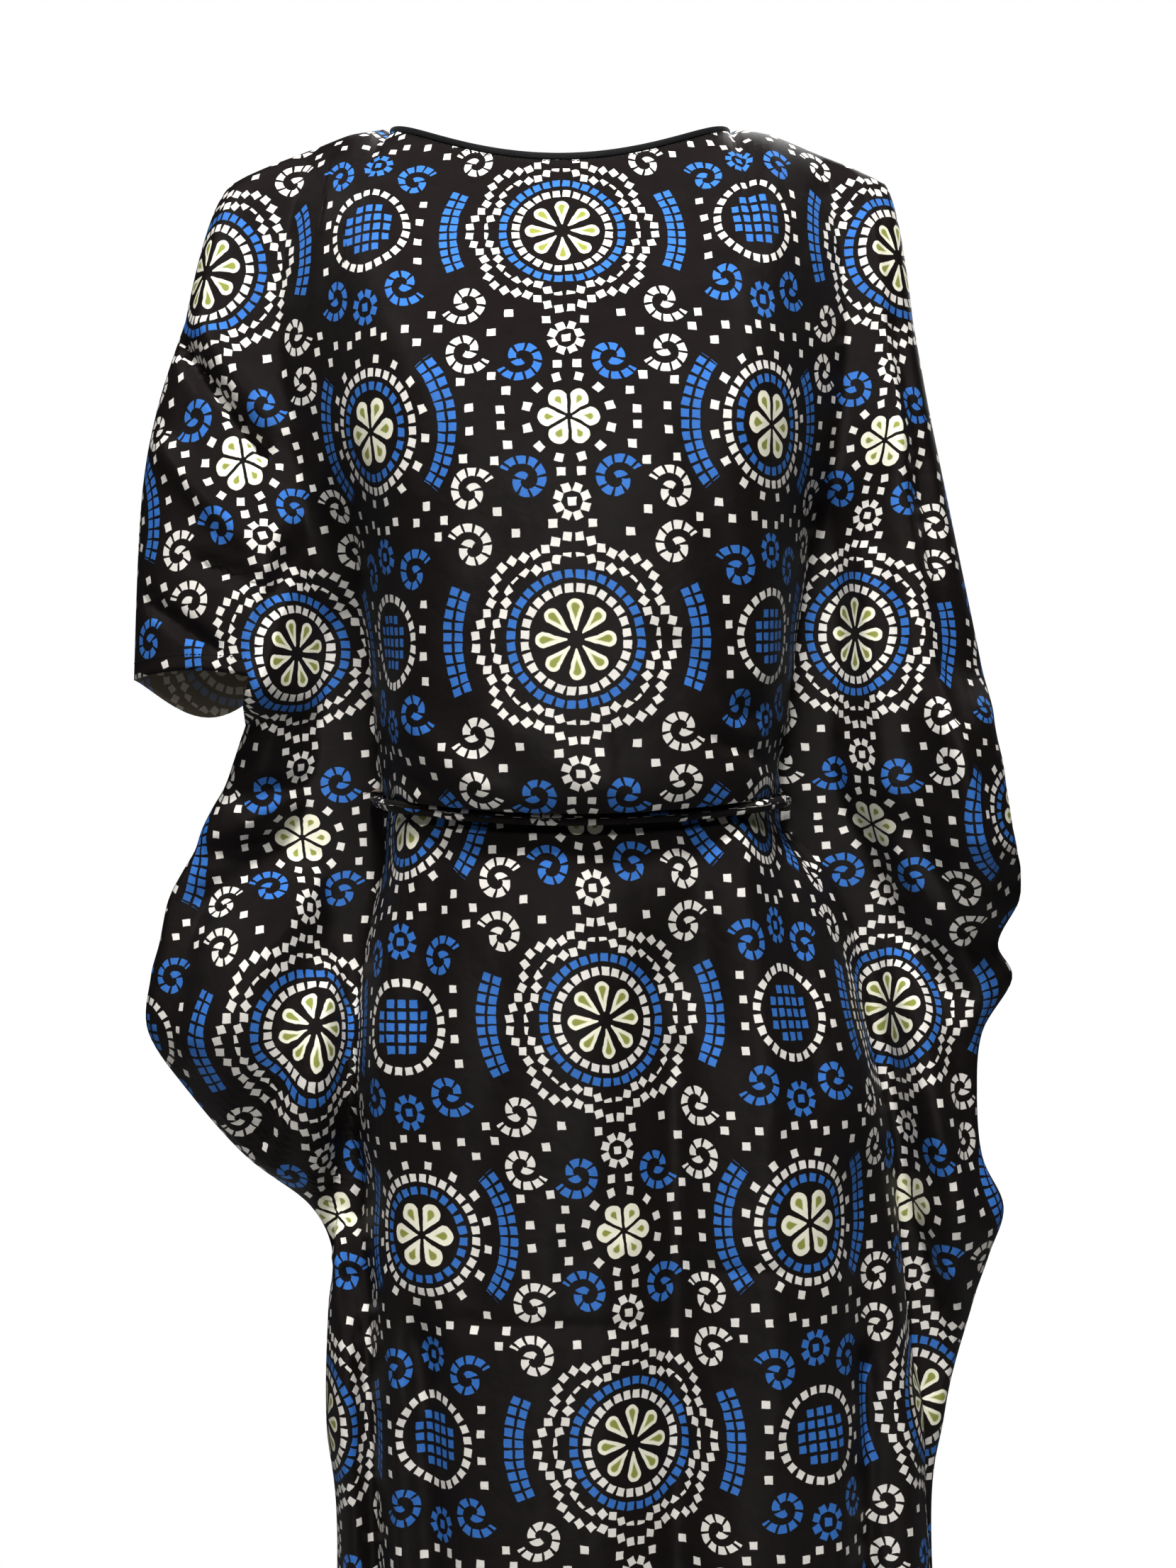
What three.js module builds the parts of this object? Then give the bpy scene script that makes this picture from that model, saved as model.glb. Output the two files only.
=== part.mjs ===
// Baati: a loose kaftan-cut dress, held up by the shoulders of whoever wears it.
// Millimetres, +Z up, the front faces -Y and the wearer's left is +X. The origin lies on the shoulder
// line, midway between the two ends of the neck opening.
//
// The dress is two wide rectangles of thin cloth, sewn along the shoulders and down the sides. Each side
// stays open for one cuff. A narrow rolled tie draws the cloth in at the waist, the bodice blouses over
// it, and what is wider than the body hangs from the arms as wings.

import * as THREE from 'three';

// ---- Driving sizes -------------------------------------------------------------------------------

const WALL = 1.5; // thickness of the cloth walls
const SEAM_GAP = 0.3; // clear space between two pieces at a seam
const HEM = -1380; // height of the hem below the shoulder line

// The neck edge is an ellipse that dips at the front and back. It lies a little under the shoulder line to
// leave room for the binding, by sink all round and by corner more at its two ends.
const NECK = { halfWidth: 95, frontDepth: 58, backDepth: 52, frontDip: 29, backDip: 7, sink: 3.6, corner: 2, blend: 10 };
const SHOULDER = { corner: 181, drop: 31, slope: 1.25 };
const YOKE = { z: -110, roundFrom: 70, roundTo: 120 }; // where the cloth has turned down off the shoulders
const BODY_POWER = 2.3; // squareness of the cross section over the body
const WING_POWER = 4; // squareness of a sleeve or wing towards its outer edge
const UNION_POWER = 3.5; // how tightly the cloth follows both the body and the arms
const CLEARANCE = 5; // least depth of a fold's bottom in front of or behind the seam plane
const WAIST_RISE = 13; // how much the tie climbs from the middle to the sides
const CUFF = { right: -312, frontRise: 4, backDip: 20, leftTop: -303, leftBottom: -430, leftGap: 22 };

const BINDING = { height: 3.7, thickness: 2, lift: 0.6, steps: 48 };
const TIE = { radius: 3.2, clear: 3.5, sides: 6, steps: 24, section: 9, z: -389, right: -104, left: 122 };

// Columns of each panel: over the right sleeve, out to the right wing, over the body and the left wing.
const FRONT_GRID = { sleeve: 5, right: 10, body: 16, left: 10 };
const BACK_GRID = { sleeve: 4, right: 7, body: 12, left: 8 };
const BODY_CREST = 0.72; // share of the body's half width where its columns end
const ROW_SAMPLES = 240; // points measured along a row before its columns are spaced

// Cross sections from the yoke to the hem. z is the height over the body and wing the height out on the
// wings. right and left are the outline, fold is where the right wing leaves its sleeve, bodyR and bodyL
// are where the cloth leaves the body, front and back are the depth over the body, wingR and wingL the
// depth of the sleeves and wings, and steps is the number of rows down to the next section.
const SECTIONS = table(
  ['z', 'wing', 'right', 'fold', 'left', 'bodyR', 'bodyL', 'front', 'back', 'wingR', 'wingL', 'steps'],
  [
    [-110, -110, -211, -137, 199, -158, 160, 102, 88, 47, 47, 1],
    [-160, -160, -227, -140, 208, -154, 158, 121, 95, 51, 51, 1],
    [-214, -214, -236, -138, 219, -144, 152, 126, 98, 54, 54, 1],
    [-312, -312, -240, -168, 239, -128, 144, 121, 100, 56, 57, 1],
    [-350, -340, -240, -178, 242, -124, 140, 118, 101, 54, 55, 1],
    [-375, -358, -240, -184, 246, -122, 139, 115, 99, 50, 53, 1],
    [-386, -372, -240, -189, 248, -121, 138, 108, 94, 47, 51, 1],
    [-379, -384, -240, -196, 250, -120, 138, 96, 86, 45, 49, 1],
    [-381, -396, -240, -202, 252, -119, 138, 91, 82, 45, 47, 1],
    [-394, -408, -240, -206, 255, -119, 139, 91, 82, 44, 45, 1],
    [-401, -420, -240, -213, 259, -119, 142, 97, 86, 43, 44, 1],
    [-420, -436, -240, -221, 259, -119, 150, 104, 95, 43, 43, 1],
    [-455, -460, -240, -226, 247, -118, 158, 107, 106, 45, 43, 1],
    [-480, -480, -240, -231, 255, -118, 165, 108, 112, 49, 42, 1],
    [-510, -510, -240, -232, 238, -119, 173, 109, 118, 55, 46, 1],
    [-545, -545, -240, -208, 235, -121, 183, 109, 120, 52, 51, 1],
    [-580, -580, -240, -177, 238, -123, 190, 109, 122, 38, 54, 1],
    [-608, -608, -240, -141, 250, -125, 193, 110, 122, 18, 51, 1],
    [-635, -635, -240, -128, 242, -128, 196, 110, 122, 8, 44, 1],
    [-665, -665, -240, -130, 232, -130, 199, 111, 122, 6, 37, 1],
    [-725, -725, -240, -131, 217, -131, 204, 112, 122, 6, 22, 1],
    [-813, -813, -240, -125, 210, -125, 208, 115, 124, 6, 8, 3],
    [-1100, -1100, -240, -138, 232, -138, 232, 124, 130, 6, 6, 3],
    [HEM, HEM, -240, -152, 254, -152, 254, 132, 138, 6, 6, 0],
  ],
);
const TOP_ROWS = [0, 0.16, 0.36, 0.58, 0.8]; // rows between the shoulder seam and the yoke, as shares

// The largest folds of each panel. A fold runs from x0, z0 to x1, z1 and stands out by depth, or sinks in
// where that is negative, over a half width of width.
const FOLD_COLUMNS = ['x0', 'z0', 'x1', 'z1', 'depth', 'width'];
const FRONT_FOLDS = table(FOLD_COLUMNS, [
  [-152, -80, -136, -210, -9, 26], // hollow between the right shoulder and the chest
  [-114, -240, -108, -400, -26, 17], // deep fold beside the right of the bodice, opening downwards
  [-113, -315, -107, -400, -24, 16],
  [-126, -190, -124, -400, -18, 34], // wide hollow around it
  [-122, -290, -124, -400, -20, 28],
  [-154, -240, -168, -335, 13, 16], // front lip of the right wing
  [-120, -388, -212, -440, -16, 14], // drag lines from the waist into the right wing
  [-124, -412, -196, -506, 9, 15],
  [-122, -446, -166, -560, -15, 15],
  [-113, -412, -117, -640, -36, 11], // between the right wing and the skirt
  [154, -90, 142, -210, -9, 26], // hollow between the left shoulder and the chest
  [143, -235, 133, -380, -25, 16], // deep fold beside the left of the bodice, opening downwards
  [141, -300, 131, -380, -24, 15],
  [150, -190, 150, -400, -16, 32], // wide hollow around it
  [148, -290, 148, -400, -16, 26],
  [186, -180, 226, -430, 12, 17], // ridge down the left sleeve into its wing
  [136, -368, 212, -478, -21, 14], // drag lines from the waist into the left wing
  [150, -420, 206, -560, 11, 15],
  [168, -430, 208, -690, -34, 14], // between the skirt and the left wing
  [58, -490, 66, -1372, -22, 28], // furrow down the middle of the skirt
  [-106, -600, -84, -1372, -25, 13],
  [-73, -672, -36, -1372, -16, 12],
  [165, -600, 186, -1372, -24, 18],
  [8, -860, 2, -1372, -15, 24],
  [122, -860, 128, -1372, -17, 24],
]);
const BACK_FOLDS = table(FOLD_COLUMNS, [
  [-118, -180, -112, -400, -26, 22],
  [126, -180, 132, -400, -26, 22],
  [-160, -300, -190, -500, -12, 26],
  [176, -300, 206, -520, -16, 26],
  [-112, -420, -116, -640, -24, 20],
  [170, -430, 206, -690, -26, 20],
  [-86, -640, -92, -1372, -24, 24],
  [-20, -560, -30, -1372, -22, 28],
  [58, -600, 62, -1372, -24, 28],
  [128, -620, 142, -1372, -22, 24],
]);

// ---- Interpolation -------------------------------------------------------------------------------

/** Turns rows of numbers into objects with the named columns. */
function table(columns, rows) {
  return rows.map((row) => Object.fromEntries(columns.map((name, i) => [name, row[i]])));
}

const lerp = (a, b, t) => a + (b - a) * t;
const clamp01 = (t) => Math.min(1, Math.max(0, t));

/** Rises smoothly from 0 at a to 1 at b. */
function smooth(a, b, value) {
  const t = clamp01((value - a) / (b - a));
  return t * t * (3 - 2 * t);
}

/** A smooth curve through four evenly spaced values, between the middle two. */
function catmullRom(a, b, c, d, t) {
  const slopeB = (c - a) / 2;
  const slopeC = (d - b) / 2;
  const t2 = t * t;
  const t3 = t2 * t;
  return (2 * t3 - 3 * t2 + 1) * b + (t3 - 2 * t2 + t) * slopeB + (3 * t2 - 2 * t3) * c + (t3 - t2) * slopeC;
}

/** The cross section a share t of the way from one section to the next. */
function between(index, t) {
  const last = SECTIONS.length - 1;
  const four = [-1, 0, 1, 2].map((step) => SECTIONS[Math.min(last, Math.max(0, index + step))]);
  const section = {};
  for (const name of Object.keys(SECTIONS[0])) section[name] = catmullRom(...four.map((s) => s[name]), t);
  return section;
}

// ---- The surface ---------------------------------------------------------------------------------

/** How far the folds move the cloth out of its plain form at one place. */
function foldHeight(folds, x, z) {
  let height = 0;
  for (const fold of folds) {
    const dx = fold.x1 - fold.x0;
    const dz = fold.z1 - fold.z0;
    const length = Math.hypot(dx, dz);
    const along = ((x - fold.x0) * dx + (z - fold.z0) * dz) / length;
    const across = ((x - fold.x0) * dz - (z - fold.z0) * dx) / length;
    const beyond = Math.max(0, -along, along - length);
    height += fold.depth * Math.exp(-((across / fold.width) ** 2) - (beyond / (2 * fold.width)) ** 2);
  }
  return height;
}

/** The middle and half width of the body in a section, never wider than the outline. */
function bodySpan(section, outline) {
  const right = Math.max(section.bodyR, outline.right);
  const left = Math.min(section.bodyL, outline.left);
  return { middle: (left + right) / 2, half: (left - right) / 2 };
}

/** Depth over the body: a superellipse between the two places where the cloth leaves it. */
function bodyDepth(section, outline, depth, x) {
  const { middle, half } = bodySpan(section, outline);
  const t = Math.abs(x - middle) / half;
  return depth * Math.max(0, 1 - t ** BODY_POWER) ** (1 / BODY_POWER);
}

/** Depth of a sleeve or wing: level from the body outwards, rounding away at the outline. */
function wingDepth(section, outline, x) {
  const { middle } = bodySpan(section, outline);
  const [edge, depth] = x < middle ? [outline.right, section.wingR] : [outline.left, section.wingL];
  const s = clamp01((x - middle) / (edge - middle));
  return depth * Math.sqrt(Math.max(0, 1 - s ** WING_POWER));
}

/** Distance of the cloth from the seam plane, for the front (side -1) or the back (side 1). */
function clothDepth(side, section, outline, x, z) {
  const over = side < 0 ? section.front : section.back;
  const body = bodyDepth(section, outline, over, x);
  const wing = wingDepth(section, outline, x);
  const plain = (body ** UNION_POWER + wing ** UNION_POWER) ** (1 / UNION_POWER);
  const room = smooth(0, 30, Math.min(x - outline.right, outline.left - x));
  const folded = plain + room * foldHeight(side < 0 ? FRONT_FOLDS : BACK_FOLDS, x, z);
  return Math.max(folded, Math.min(plain, CLEARANCE));
}

/** Height of the shoulder line, falling away from the neck to the shoulder corner. */
function shoulderHeight(x) {
  const share = Math.max(0, Math.abs(x) - NECK.halfWidth) / (SHOULDER.corner - NECK.halfWidth);
  return -SHOULDER.drop * share ** SHOULDER.slope;
}

/** The neck edge or shoulder seam that a panel hangs from, as distance from the seam plane and height. */
function topLine(side, x) {
  const inside = Math.max(0, 1 - (x / NECK.halfWidth) ** 2);
  const [depth, dip] = side < 0 ? [NECK.frontDepth, NECK.frontDip] : [NECK.backDepth, NECK.backDip];
  const end = Math.min(1, Math.abs(x) / NECK.halfWidth) ** 8;
  const sunk = (NECK.sink + NECK.corner * end) * smooth(NECK.blend, 0, Math.abs(x) - NECK.halfWidth);
  return { depth: depth * Math.sqrt(inside), z: shoulderHeight(x) - dip * inside - sunk };
}

/** One place on a row of the panel, x measured along the row's own width. */
function rowPoint(side, row, x) {
  const section = row.section;
  if (row.top === undefined) {
    const { middle, half } = bodySpan(section, row.outline);
    const share = Math.abs(x - middle) / half;
    const onBody = 1 - smooth(0.86, 1.12, share);
    const rise = WAIST_RISE * row.waist * Math.min(1, share) ** 2;
    const z = lerp(section.wing, section.z + rise, onBody);
    const depth = clothDepth(side, section, row.outline, x, z);
    return new THREE.Vector3(x, side * (depth + row.gap(x)), z + row.cuff(x));
  }
  const yokeX = x < 0 ? (x / row.outline.right) * section.right : (x / row.outline.left) * section.left;
  const top = topLine(side, (yokeX * SHOULDER.corner) / Math.abs(x < 0 ? section.right : section.left));
  const yoke = clothDepth(side, section, section, yokeX, YOKE.z);
  const round = smooth(YOKE.roundFrom, YOKE.roundTo, Math.abs(x));
  const turn = (row.top * Math.PI) / 2;
  const depth = lerp(top.depth, yoke, lerp(row.top, Math.sin(turn), round));
  const z = lerp(top.z, YOKE.z, lerp(row.top, 1 - Math.cos(turn), round));
  return new THREE.Vector3(x, side * depth, z);
}

/** All rows of a panel from the top down, the same heights for the front and the back. */
function panelRows(side) {
  const rows = [];
  const none = () => 0;
  for (const top of TOP_ROWS) {
    const fall = 1 - Math.cos((top * Math.PI) / 2);
    const right = -lerp(SHOULDER.corner, -SECTIONS[0].right, Math.sqrt(fall));
    const left = lerp(SHOULDER.corner, SECTIONS[0].left, Math.sqrt(fall));
    rows.push({ section: SECTIONS[0], top, outline: { right, left }, waist: 0, gap: none, cuff: none, sleeve: true });
  }
  SECTIONS.forEach((base, index) => {
    for (let step = 0; step < Math.max(1, base.steps); step += 1) {
      const section = step === 0 ? base : between(index, step / base.steps);
      const sleeve = section.wing >= CUFF.right;
      const atCuff = section.wing === CUFF.right;
      const open = smooth(CUFF.leftTop, CUFF.leftTop - 40, section.wing);
      const shut = 1 - smooth(CUFF.leftBottom + 30, CUFF.leftBottom, section.wing);
      const right = sleeve ? section.right : section.fold;
      rows.push({
        section,
        outline: { right, left: section.left },
        waist: smooth(-340, -375, section.z) * (1 - smooth(-400, -440, section.z)),
        gap: (x) => CUFF.leftGap * open * shut * smooth(60, 10, section.left - x),
        cuff: (x) => (atCuff ? cuffShift(side, section, x) : 0),
        sleeve,
      });
    }
  });
  return rows;
}

/** The right cuff's edge: the front lifts a little and the back hangs lower, both fixed at their ends. */
function cuffShift(side, section, x) {
  const share = clamp01((x - section.right) / (section.fold - section.right));
  return (side < 0 ? CUFF.frontRise : -CUFF.backDip) * Math.sin(Math.PI * share);
}

/** Points spaced evenly by length along a row, from one x to another. */
function spaced(side, row, from, to, count) {
  const line = [];
  for (let i = 0; i <= ROW_SAMPLES; i += 1) {
    const t = (1 - Math.cos((Math.PI * i) / ROW_SAMPLES)) / 2;
    line.push(rowPoint(side, row, lerp(from, to, t)));
  }
  const lengths = [0];
  for (let i = 1; i < line.length; i += 1) lengths.push(lengths[i - 1] + line[i].distanceTo(line[i - 1]));
  const total = lengths[lengths.length - 1];
  const points = [];
  let segment = 0;
  for (let i = 0; i <= count; i += 1) {
    const target = (total * i) / count;
    while (segment < line.length - 2 && lengths[segment + 1] < target) segment += 1;
    const t = (target - lengths[segment]) / (lengths[segment + 1] - lengths[segment]);
    points.push(line[segment].clone().lerp(line[segment + 1], clamp01(t)));
  }
  return points;
}

/** A panel's outer face as rows of points; a row below the right cuff has no sleeve points. */
function panelGrid(side, grid) {
  return panelRows(side).map((row) => {
    const narrowed = row.top === undefined ? 1 : row.outline.right / row.section.right;
    const { middle, half } = bodySpan(row.section, row.outline);
    const fold = row.section.fold * narrowed;
    const rightCrest = middle - BODY_CREST * half;
    const leftCrest = middle + BODY_CREST * half;
    const sleeve = row.sleeve
      ? spaced(side, row, row.outline.right, fold, grid.sleeve).slice(0, -1)
      : new Array(grid.sleeve).fill(null);
    return [
      ...sleeve,
      ...spaced(side, row, fold, rightCrest, grid.right).slice(0, -1),
      ...spaced(side, row, rightCrest, leftCrest, grid.body).slice(0, -1),
      ...spaced(side, row, leftCrest, row.outline.left, grid.left),
    ];
  });
}

// ---- Solids --------------------------------------------------------------------------------------

function geometryFrom(points, faces) {
  const geometry = new THREE.BufferGeometry();
  geometry.setAttribute('position', new THREE.Float32BufferAttribute(points.flatMap((p) => [p.x, p.y, p.z]), 3));
  geometry.setIndex(faces.flat());
  return geometry;
}

/** Unit normals of a grid of points, pointing to the same side as the given sign of Y. */
function gridNormals(grid, side) {
  const at = (r, c) => (grid[r] && grid[r][c]) || null;
  return grid.map((row, r) =>
    row.map((point, c) => {
      if (!point) return null;
      const down = new THREE.Vector3().subVectors(at(r + 1, c) || point, at(r - 1, c) || point);
      const across = new THREE.Vector3().subVectors(at(r, c + 1) || point, at(r, c - 1) || point);
      return down.cross(across).normalize().multiplyScalar(-side);
    }),
  );
}

/** A wall behind a grid of points, closed by a rim along every free edge and kept off the seam plane. */
function wallFromGrid(grid, side) {
  const normals = gridNormals(grid, side);
  const outer = [];
  const inner = [];
  const ids = grid.map((row, r) =>
    row.map((point, c) => {
      if (!point) return -1;
      const normal = normals[r][c];
      const least = SEAM_GAP / 2 + WALL * Math.abs(normal.y);
      const face = point.clone();
      face.y = side * Math.max(least, side * face.y);
      outer.push(face);
      inner.push(face.clone().addScaledVector(normal, -WALL));
      return outer.length - 1;
    }),
  );
  const count = outer.length;
  const faces = [];
  const edges = new Map();
  const addTriangle = (a, b, c) => {
    const [p, q, s] = side < 0 ? [a, b, c] : [a, c, b];
    faces.push([p, q, s], [count + p, count + s, count + q]);
    for (const [from, to] of [[p, q], [q, s], [s, p]]) {
      if (edges.has(`${to},${from}`)) edges.delete(`${to},${from}`);
      else edges.set(`${from},${to}`, [from, to]);
    }
  };
  for (let r = 0; r < grid.length - 1; r += 1) {
    for (let c = 0; c < grid[0].length - 1; c += 1) {
      const [a, b, d, e] = [ids[r][c], ids[r][c + 1], ids[r + 1][c], ids[r + 1][c + 1]];
      if (Math.min(a, b, d, e) < 0) continue;
      addTriangle(a, d, e);
      addTriangle(a, e, b);
    }
  }
  for (const [from, to] of edges.values()) {
    faces.push([to, from, count + from], [to, count + from, count + to]);
  }
  return geometryFrom([...outer, ...inner], faces);
}

/** A section, given as offsets along two directions, swept along a path of frames. */
function sweep(frames, section, closed) {
  const points = [];
  for (const { at, u, v } of frames) {
    for (const [a, b] of section) points.push(at.clone().addScaledVector(u, a).addScaledVector(v, b));
  }
  const n = section.length;
  const faces = [];
  const rings = frames.length;
  for (let i = 0; i < (closed ? rings : rings - 1); i += 1) {
    for (let j = 0; j < n; j += 1) {
      const a = i * n + j;
      const b = i * n + ((j + 1) % n);
      const c = ((i + 1) % rings) * n + j;
      const d = ((i + 1) % rings) * n + ((j + 1) % n);
      faces.push([a, b, d], [a, d, c]);
    }
  }
  if (!closed) {
    const end = (rings - 1) * n;
    for (let j = 1; j < n - 1; j += 1) faces.push([0, j + 1, j], [end, end + j, end + j + 1]);
  }
  return geometryFrom(points, faces);
}

function clothMesh(name, geometry, color, roughness) {
  geometry.computeVertexNormals();
  const mesh = new THREE.Mesh(geometry, new THREE.MeshStandardMaterial({ color, roughness, metalness: 0 }));
  mesh.name = name;
  return mesh;
}

const PRINTED = 0x2b2624;
const BLACK = 0x121110;

/** The front or back rectangle, with its half of both sleeves and wings. */
function panel(name, side, grid) {
  return clothMesh(name, wallFromGrid(panelGrid(side, grid), side), PRINTED, 0.7);
}

/** The bias strip that closes the neck edge: an upright band on the neck's oval. */
function neckBinding() {
  const frames = [];
  for (let i = 0; i < BINDING.steps; i += 1) {
    const angle = (2 * Math.PI * i) / BINDING.steps;
    const side = Math.sin(angle) < 0 ? -1 : 1;
    const x = NECK.halfWidth * Math.cos(angle);
    const top = topLine(side, x);
    const out = new THREE.Vector3(Math.cos(angle) / NECK.halfWidth, Math.sin(angle) / NECK.frontDepth, 0);
    const at = new THREE.Vector3(x, side * top.depth, top.z + BINDING.lift);
    frames.push({ at, u: out.normalize(), v: new THREE.Vector3(0, 0, 1) });
  }
  const half = BINDING.thickness / 2;
  const section = [[-half, 0], [-half, BINDING.height], [half, BINDING.height], [half, 0]];
  return clothMesh('neck_binding', sweep(frames, section, true), BLACK, 0.75);
}

/** One stretch of the rolled waist tie, lying against the drawn-in cloth. */
function waistTie(name, side) {
  const section = SECTIONS[TIE.section];
  const outline = { right: section.fold, left: section.left };
  const { middle, half } = bodySpan(section, outline);
  const centre = (x) => {
    const depth = clothDepth(side, section, outline, x, TIE.z);
    const rise = WAIST_RISE * (Math.abs(x - middle) / half) ** 2;
    return new THREE.Vector3(x, side * depth, TIE.z + rise);
  };
  const frames = [];
  for (let i = 0; i <= TIE.steps; i += 1) {
    const x = lerp(TIE.right, TIE.left, i / TIE.steps);
    const along = new THREE.Vector3().subVectors(centre(x + 1), centre(x - 1)).normalize();
    const up = new THREE.Vector3(0, 0, 1);
    const out = new THREE.Vector3().crossVectors(along, up).normalize().multiplyScalar(-side);
    const at = centre(x).addScaledVector(out, TIE.radius + TIE.clear);
    frames.push({ at, u: out, v: up });
  }
  const circle = [];
  for (let j = 0; j < TIE.sides; j += 1) {
    const angle = (side * 2 * Math.PI * j) / TIE.sides;
    circle.push([TIE.radius * Math.cos(angle), TIE.radius * Math.sin(angle)]);
  }
  return clothMesh(name, sweep(frames, circle, false), PRINTED, 0.7);
}

// ---- The dress -----------------------------------------------------------------------------------

const dress = new THREE.Group();
dress.add(panel('front_panel', -1, FRONT_GRID));
dress.add(panel('back_panel', 1, BACK_GRID));
dress.add(neckBinding());
dress.add(waistTie('waist_tie_front', -1));
dress.add(waistTie('waist_tie_back', 1));

export default dress;
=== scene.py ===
"""A baati dress as it hangs when worn: two printed cloth panels, a neck binding, a waist tie and stitching.

The frame is metres, +Z up, the front facing -Y. The tables below are in millimetres.
"""

import math
from functools import partialmethod

import bpy
import numpy as np
from bpy.props import FloatProperty, FloatVectorProperty, IntProperty, PointerProperty
from bpy.types import Operator, Panel, PropertyGroup
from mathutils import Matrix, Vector


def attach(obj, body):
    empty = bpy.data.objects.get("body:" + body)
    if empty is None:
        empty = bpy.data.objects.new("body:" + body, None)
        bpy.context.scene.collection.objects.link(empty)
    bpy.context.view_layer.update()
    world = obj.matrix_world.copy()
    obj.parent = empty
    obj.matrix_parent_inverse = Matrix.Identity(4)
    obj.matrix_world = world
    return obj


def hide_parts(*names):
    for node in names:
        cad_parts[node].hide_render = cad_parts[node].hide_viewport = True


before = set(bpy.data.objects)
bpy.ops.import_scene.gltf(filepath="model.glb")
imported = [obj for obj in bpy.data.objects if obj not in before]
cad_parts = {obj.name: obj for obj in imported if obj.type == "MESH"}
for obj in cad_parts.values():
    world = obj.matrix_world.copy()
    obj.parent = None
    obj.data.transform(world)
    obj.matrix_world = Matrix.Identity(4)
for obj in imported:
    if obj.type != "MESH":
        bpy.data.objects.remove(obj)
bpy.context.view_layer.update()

bl_info = {
    "name": "Baati Dress",
    "version": (1, 0, 0),
    "blender": (4, 5, 0),
    "location": "View3D > Sidebar > Baati",
    "description": "Builds a loose kaftan-cut dress in printed cloth, in its worn shape",
    "category": "Add Mesh",
}

MM = 0.001

# ---- Driving sizes, in millimetres ---------------------------------------------------------------

SEAM_GAP = 0.3
HEM = -1380
NECK = {"half_width": 95, "front_depth": 58, "back_depth": 52, "front_dip": 29, "back_dip": 7}
NECK_SEAT = {"sink": 3.2, "blend": 6}  # how far the neck edge lies under its binding, and over what length
SHOULDER = {"corner": 181, "drop": 31, "slope": 1.25}
YOKE = {"z": -110, "round_from": 70, "round_to": 120}
# The powers of the body's superellipse, of the wing's rounding and of their union.
BODY_POWER = 2.3
WING_POWER = 4
UNION_POWER = 3.5
CLEARANCE = 5  # folds don't bring the cloth nearer to the seam plane than this
EDGE_FADE = {"folds": 30, "creases": 12}  # how far from a side edge the folds reach their full depth
WAIST_RISE = 13
WAIST_BAND = (-340, -375, -400, -440)  # the rise is full between the middle two and gone past the others
BODY_CREST = 0.72  # the share of the body's half width where one stretch of columns ends
BODY_BLEND = (0.78, 1.04)  # the shares of the body's half width between which it passes into the wing
CUFF = {
    "right": -312, "underarm": -338, "front_rise": 4, "back_dip": 20,
    "left_top": -303, "left_bottom": -430, "left_gap": 22, "left_reach": 60, "left_full": 10,
}

# How finely the cloth is modelled: columns over each stretch of a row, rows over the shoulders, and the
# distance between rows down to the knees and below them.
GRID = {"sleeve": 24, "right": 36, "body": 60, "left": 44}
SHOULDER_ROWS = 24
ROW_PITCH = 4.0
SKIRT_PITCH = 9.0
KNEE = -813
COARSE = 4  # rows and columns are whole multiples of this, for laying the cloth flat
FINE_ROUNDS = 120  # rounds of flattening the full grid, after those of the coarse one
RELAX_PUSH = 1.6  # how much of its mean error a point moves by in one round
ROW_SAMPLES = 260

SECTION_COLUMNS = (
    "z", "wing", "right", "fold", "left", "body_r", "body_l", "front", "back", "wing_r", "wing_l",
)
SECTION_ROWS = (
    (-110, -110, -211, -137, 199, -158, 160, 102, 88, 47, 47),
    (-160, -160, -227, -140, 208, -154, 158, 121, 95, 51, 51),
    (-214, -214, -236, -138, 219, -144, 152, 126, 98, 54, 54),
    (-312, -312, -240, -168, 239, -128, 144, 121, 100, 56, 57),
    (-350, -340, -240, -178, 242, -124, 140, 118, 101, 54, 55),
    (-375, -358, -240, -184, 246, -122, 139, 115, 99, 50, 53),
    (-386, -372, -240, -189, 248, -121, 138, 108, 94, 47, 51),
    (-379, -384, -240, -196, 250, -120, 138, 96, 86, 45, 49),
    (-381, -396, -240, -202, 252, -119, 138, 91, 82, 45, 47),
    (-394, -408, -240, -206, 255, -119, 139, 91, 82, 44, 45),
    (-401, -420, -240, -213, 259, -119, 142, 97, 86, 43, 44),
    (-420, -436, -240, -221, 259, -119, 150, 104, 95, 43, 43),
    (-455, -460, -240, -226, 247, -118, 158, 107, 106, 45, 43),
    (-480, -480, -240, -231, 255, -118, 165, 108, 112, 49, 42),
    (-510, -510, -240, -232, 238, -119, 173, 109, 118, 55, 46),
    (-545, -545, -240, -208, 235, -121, 183, 109, 120, 52, 51),
    (-580, -580, -240, -177, 238, -123, 190, 109, 122, 38, 54),
    (-608, -608, -240, -141, 250, -125, 193, 110, 122, 18, 51),
    (-635, -635, -240, -128, 242, -128, 196, 110, 122, 8, 44),
    (-665, -665, -240, -130, 232, -130, 199, 111, 122, 6, 37),
    (-725, -725, -240, -131, 217, -131, 204, 112, 122, 6, 22),
    (KNEE, KNEE, -240, -125, 210, -125, 208, 115, 124, 6, 8),
    (-1100, -1100, -240, -138, 232, -138, 232, 124, 130, 6, 6),
    (HEM, HEM, -240, -152, 254, -152, 254, 132, 138, 6, 6),
)
CUFF_SECTION = 3  # the section that the right cuff's edge follows

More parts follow.
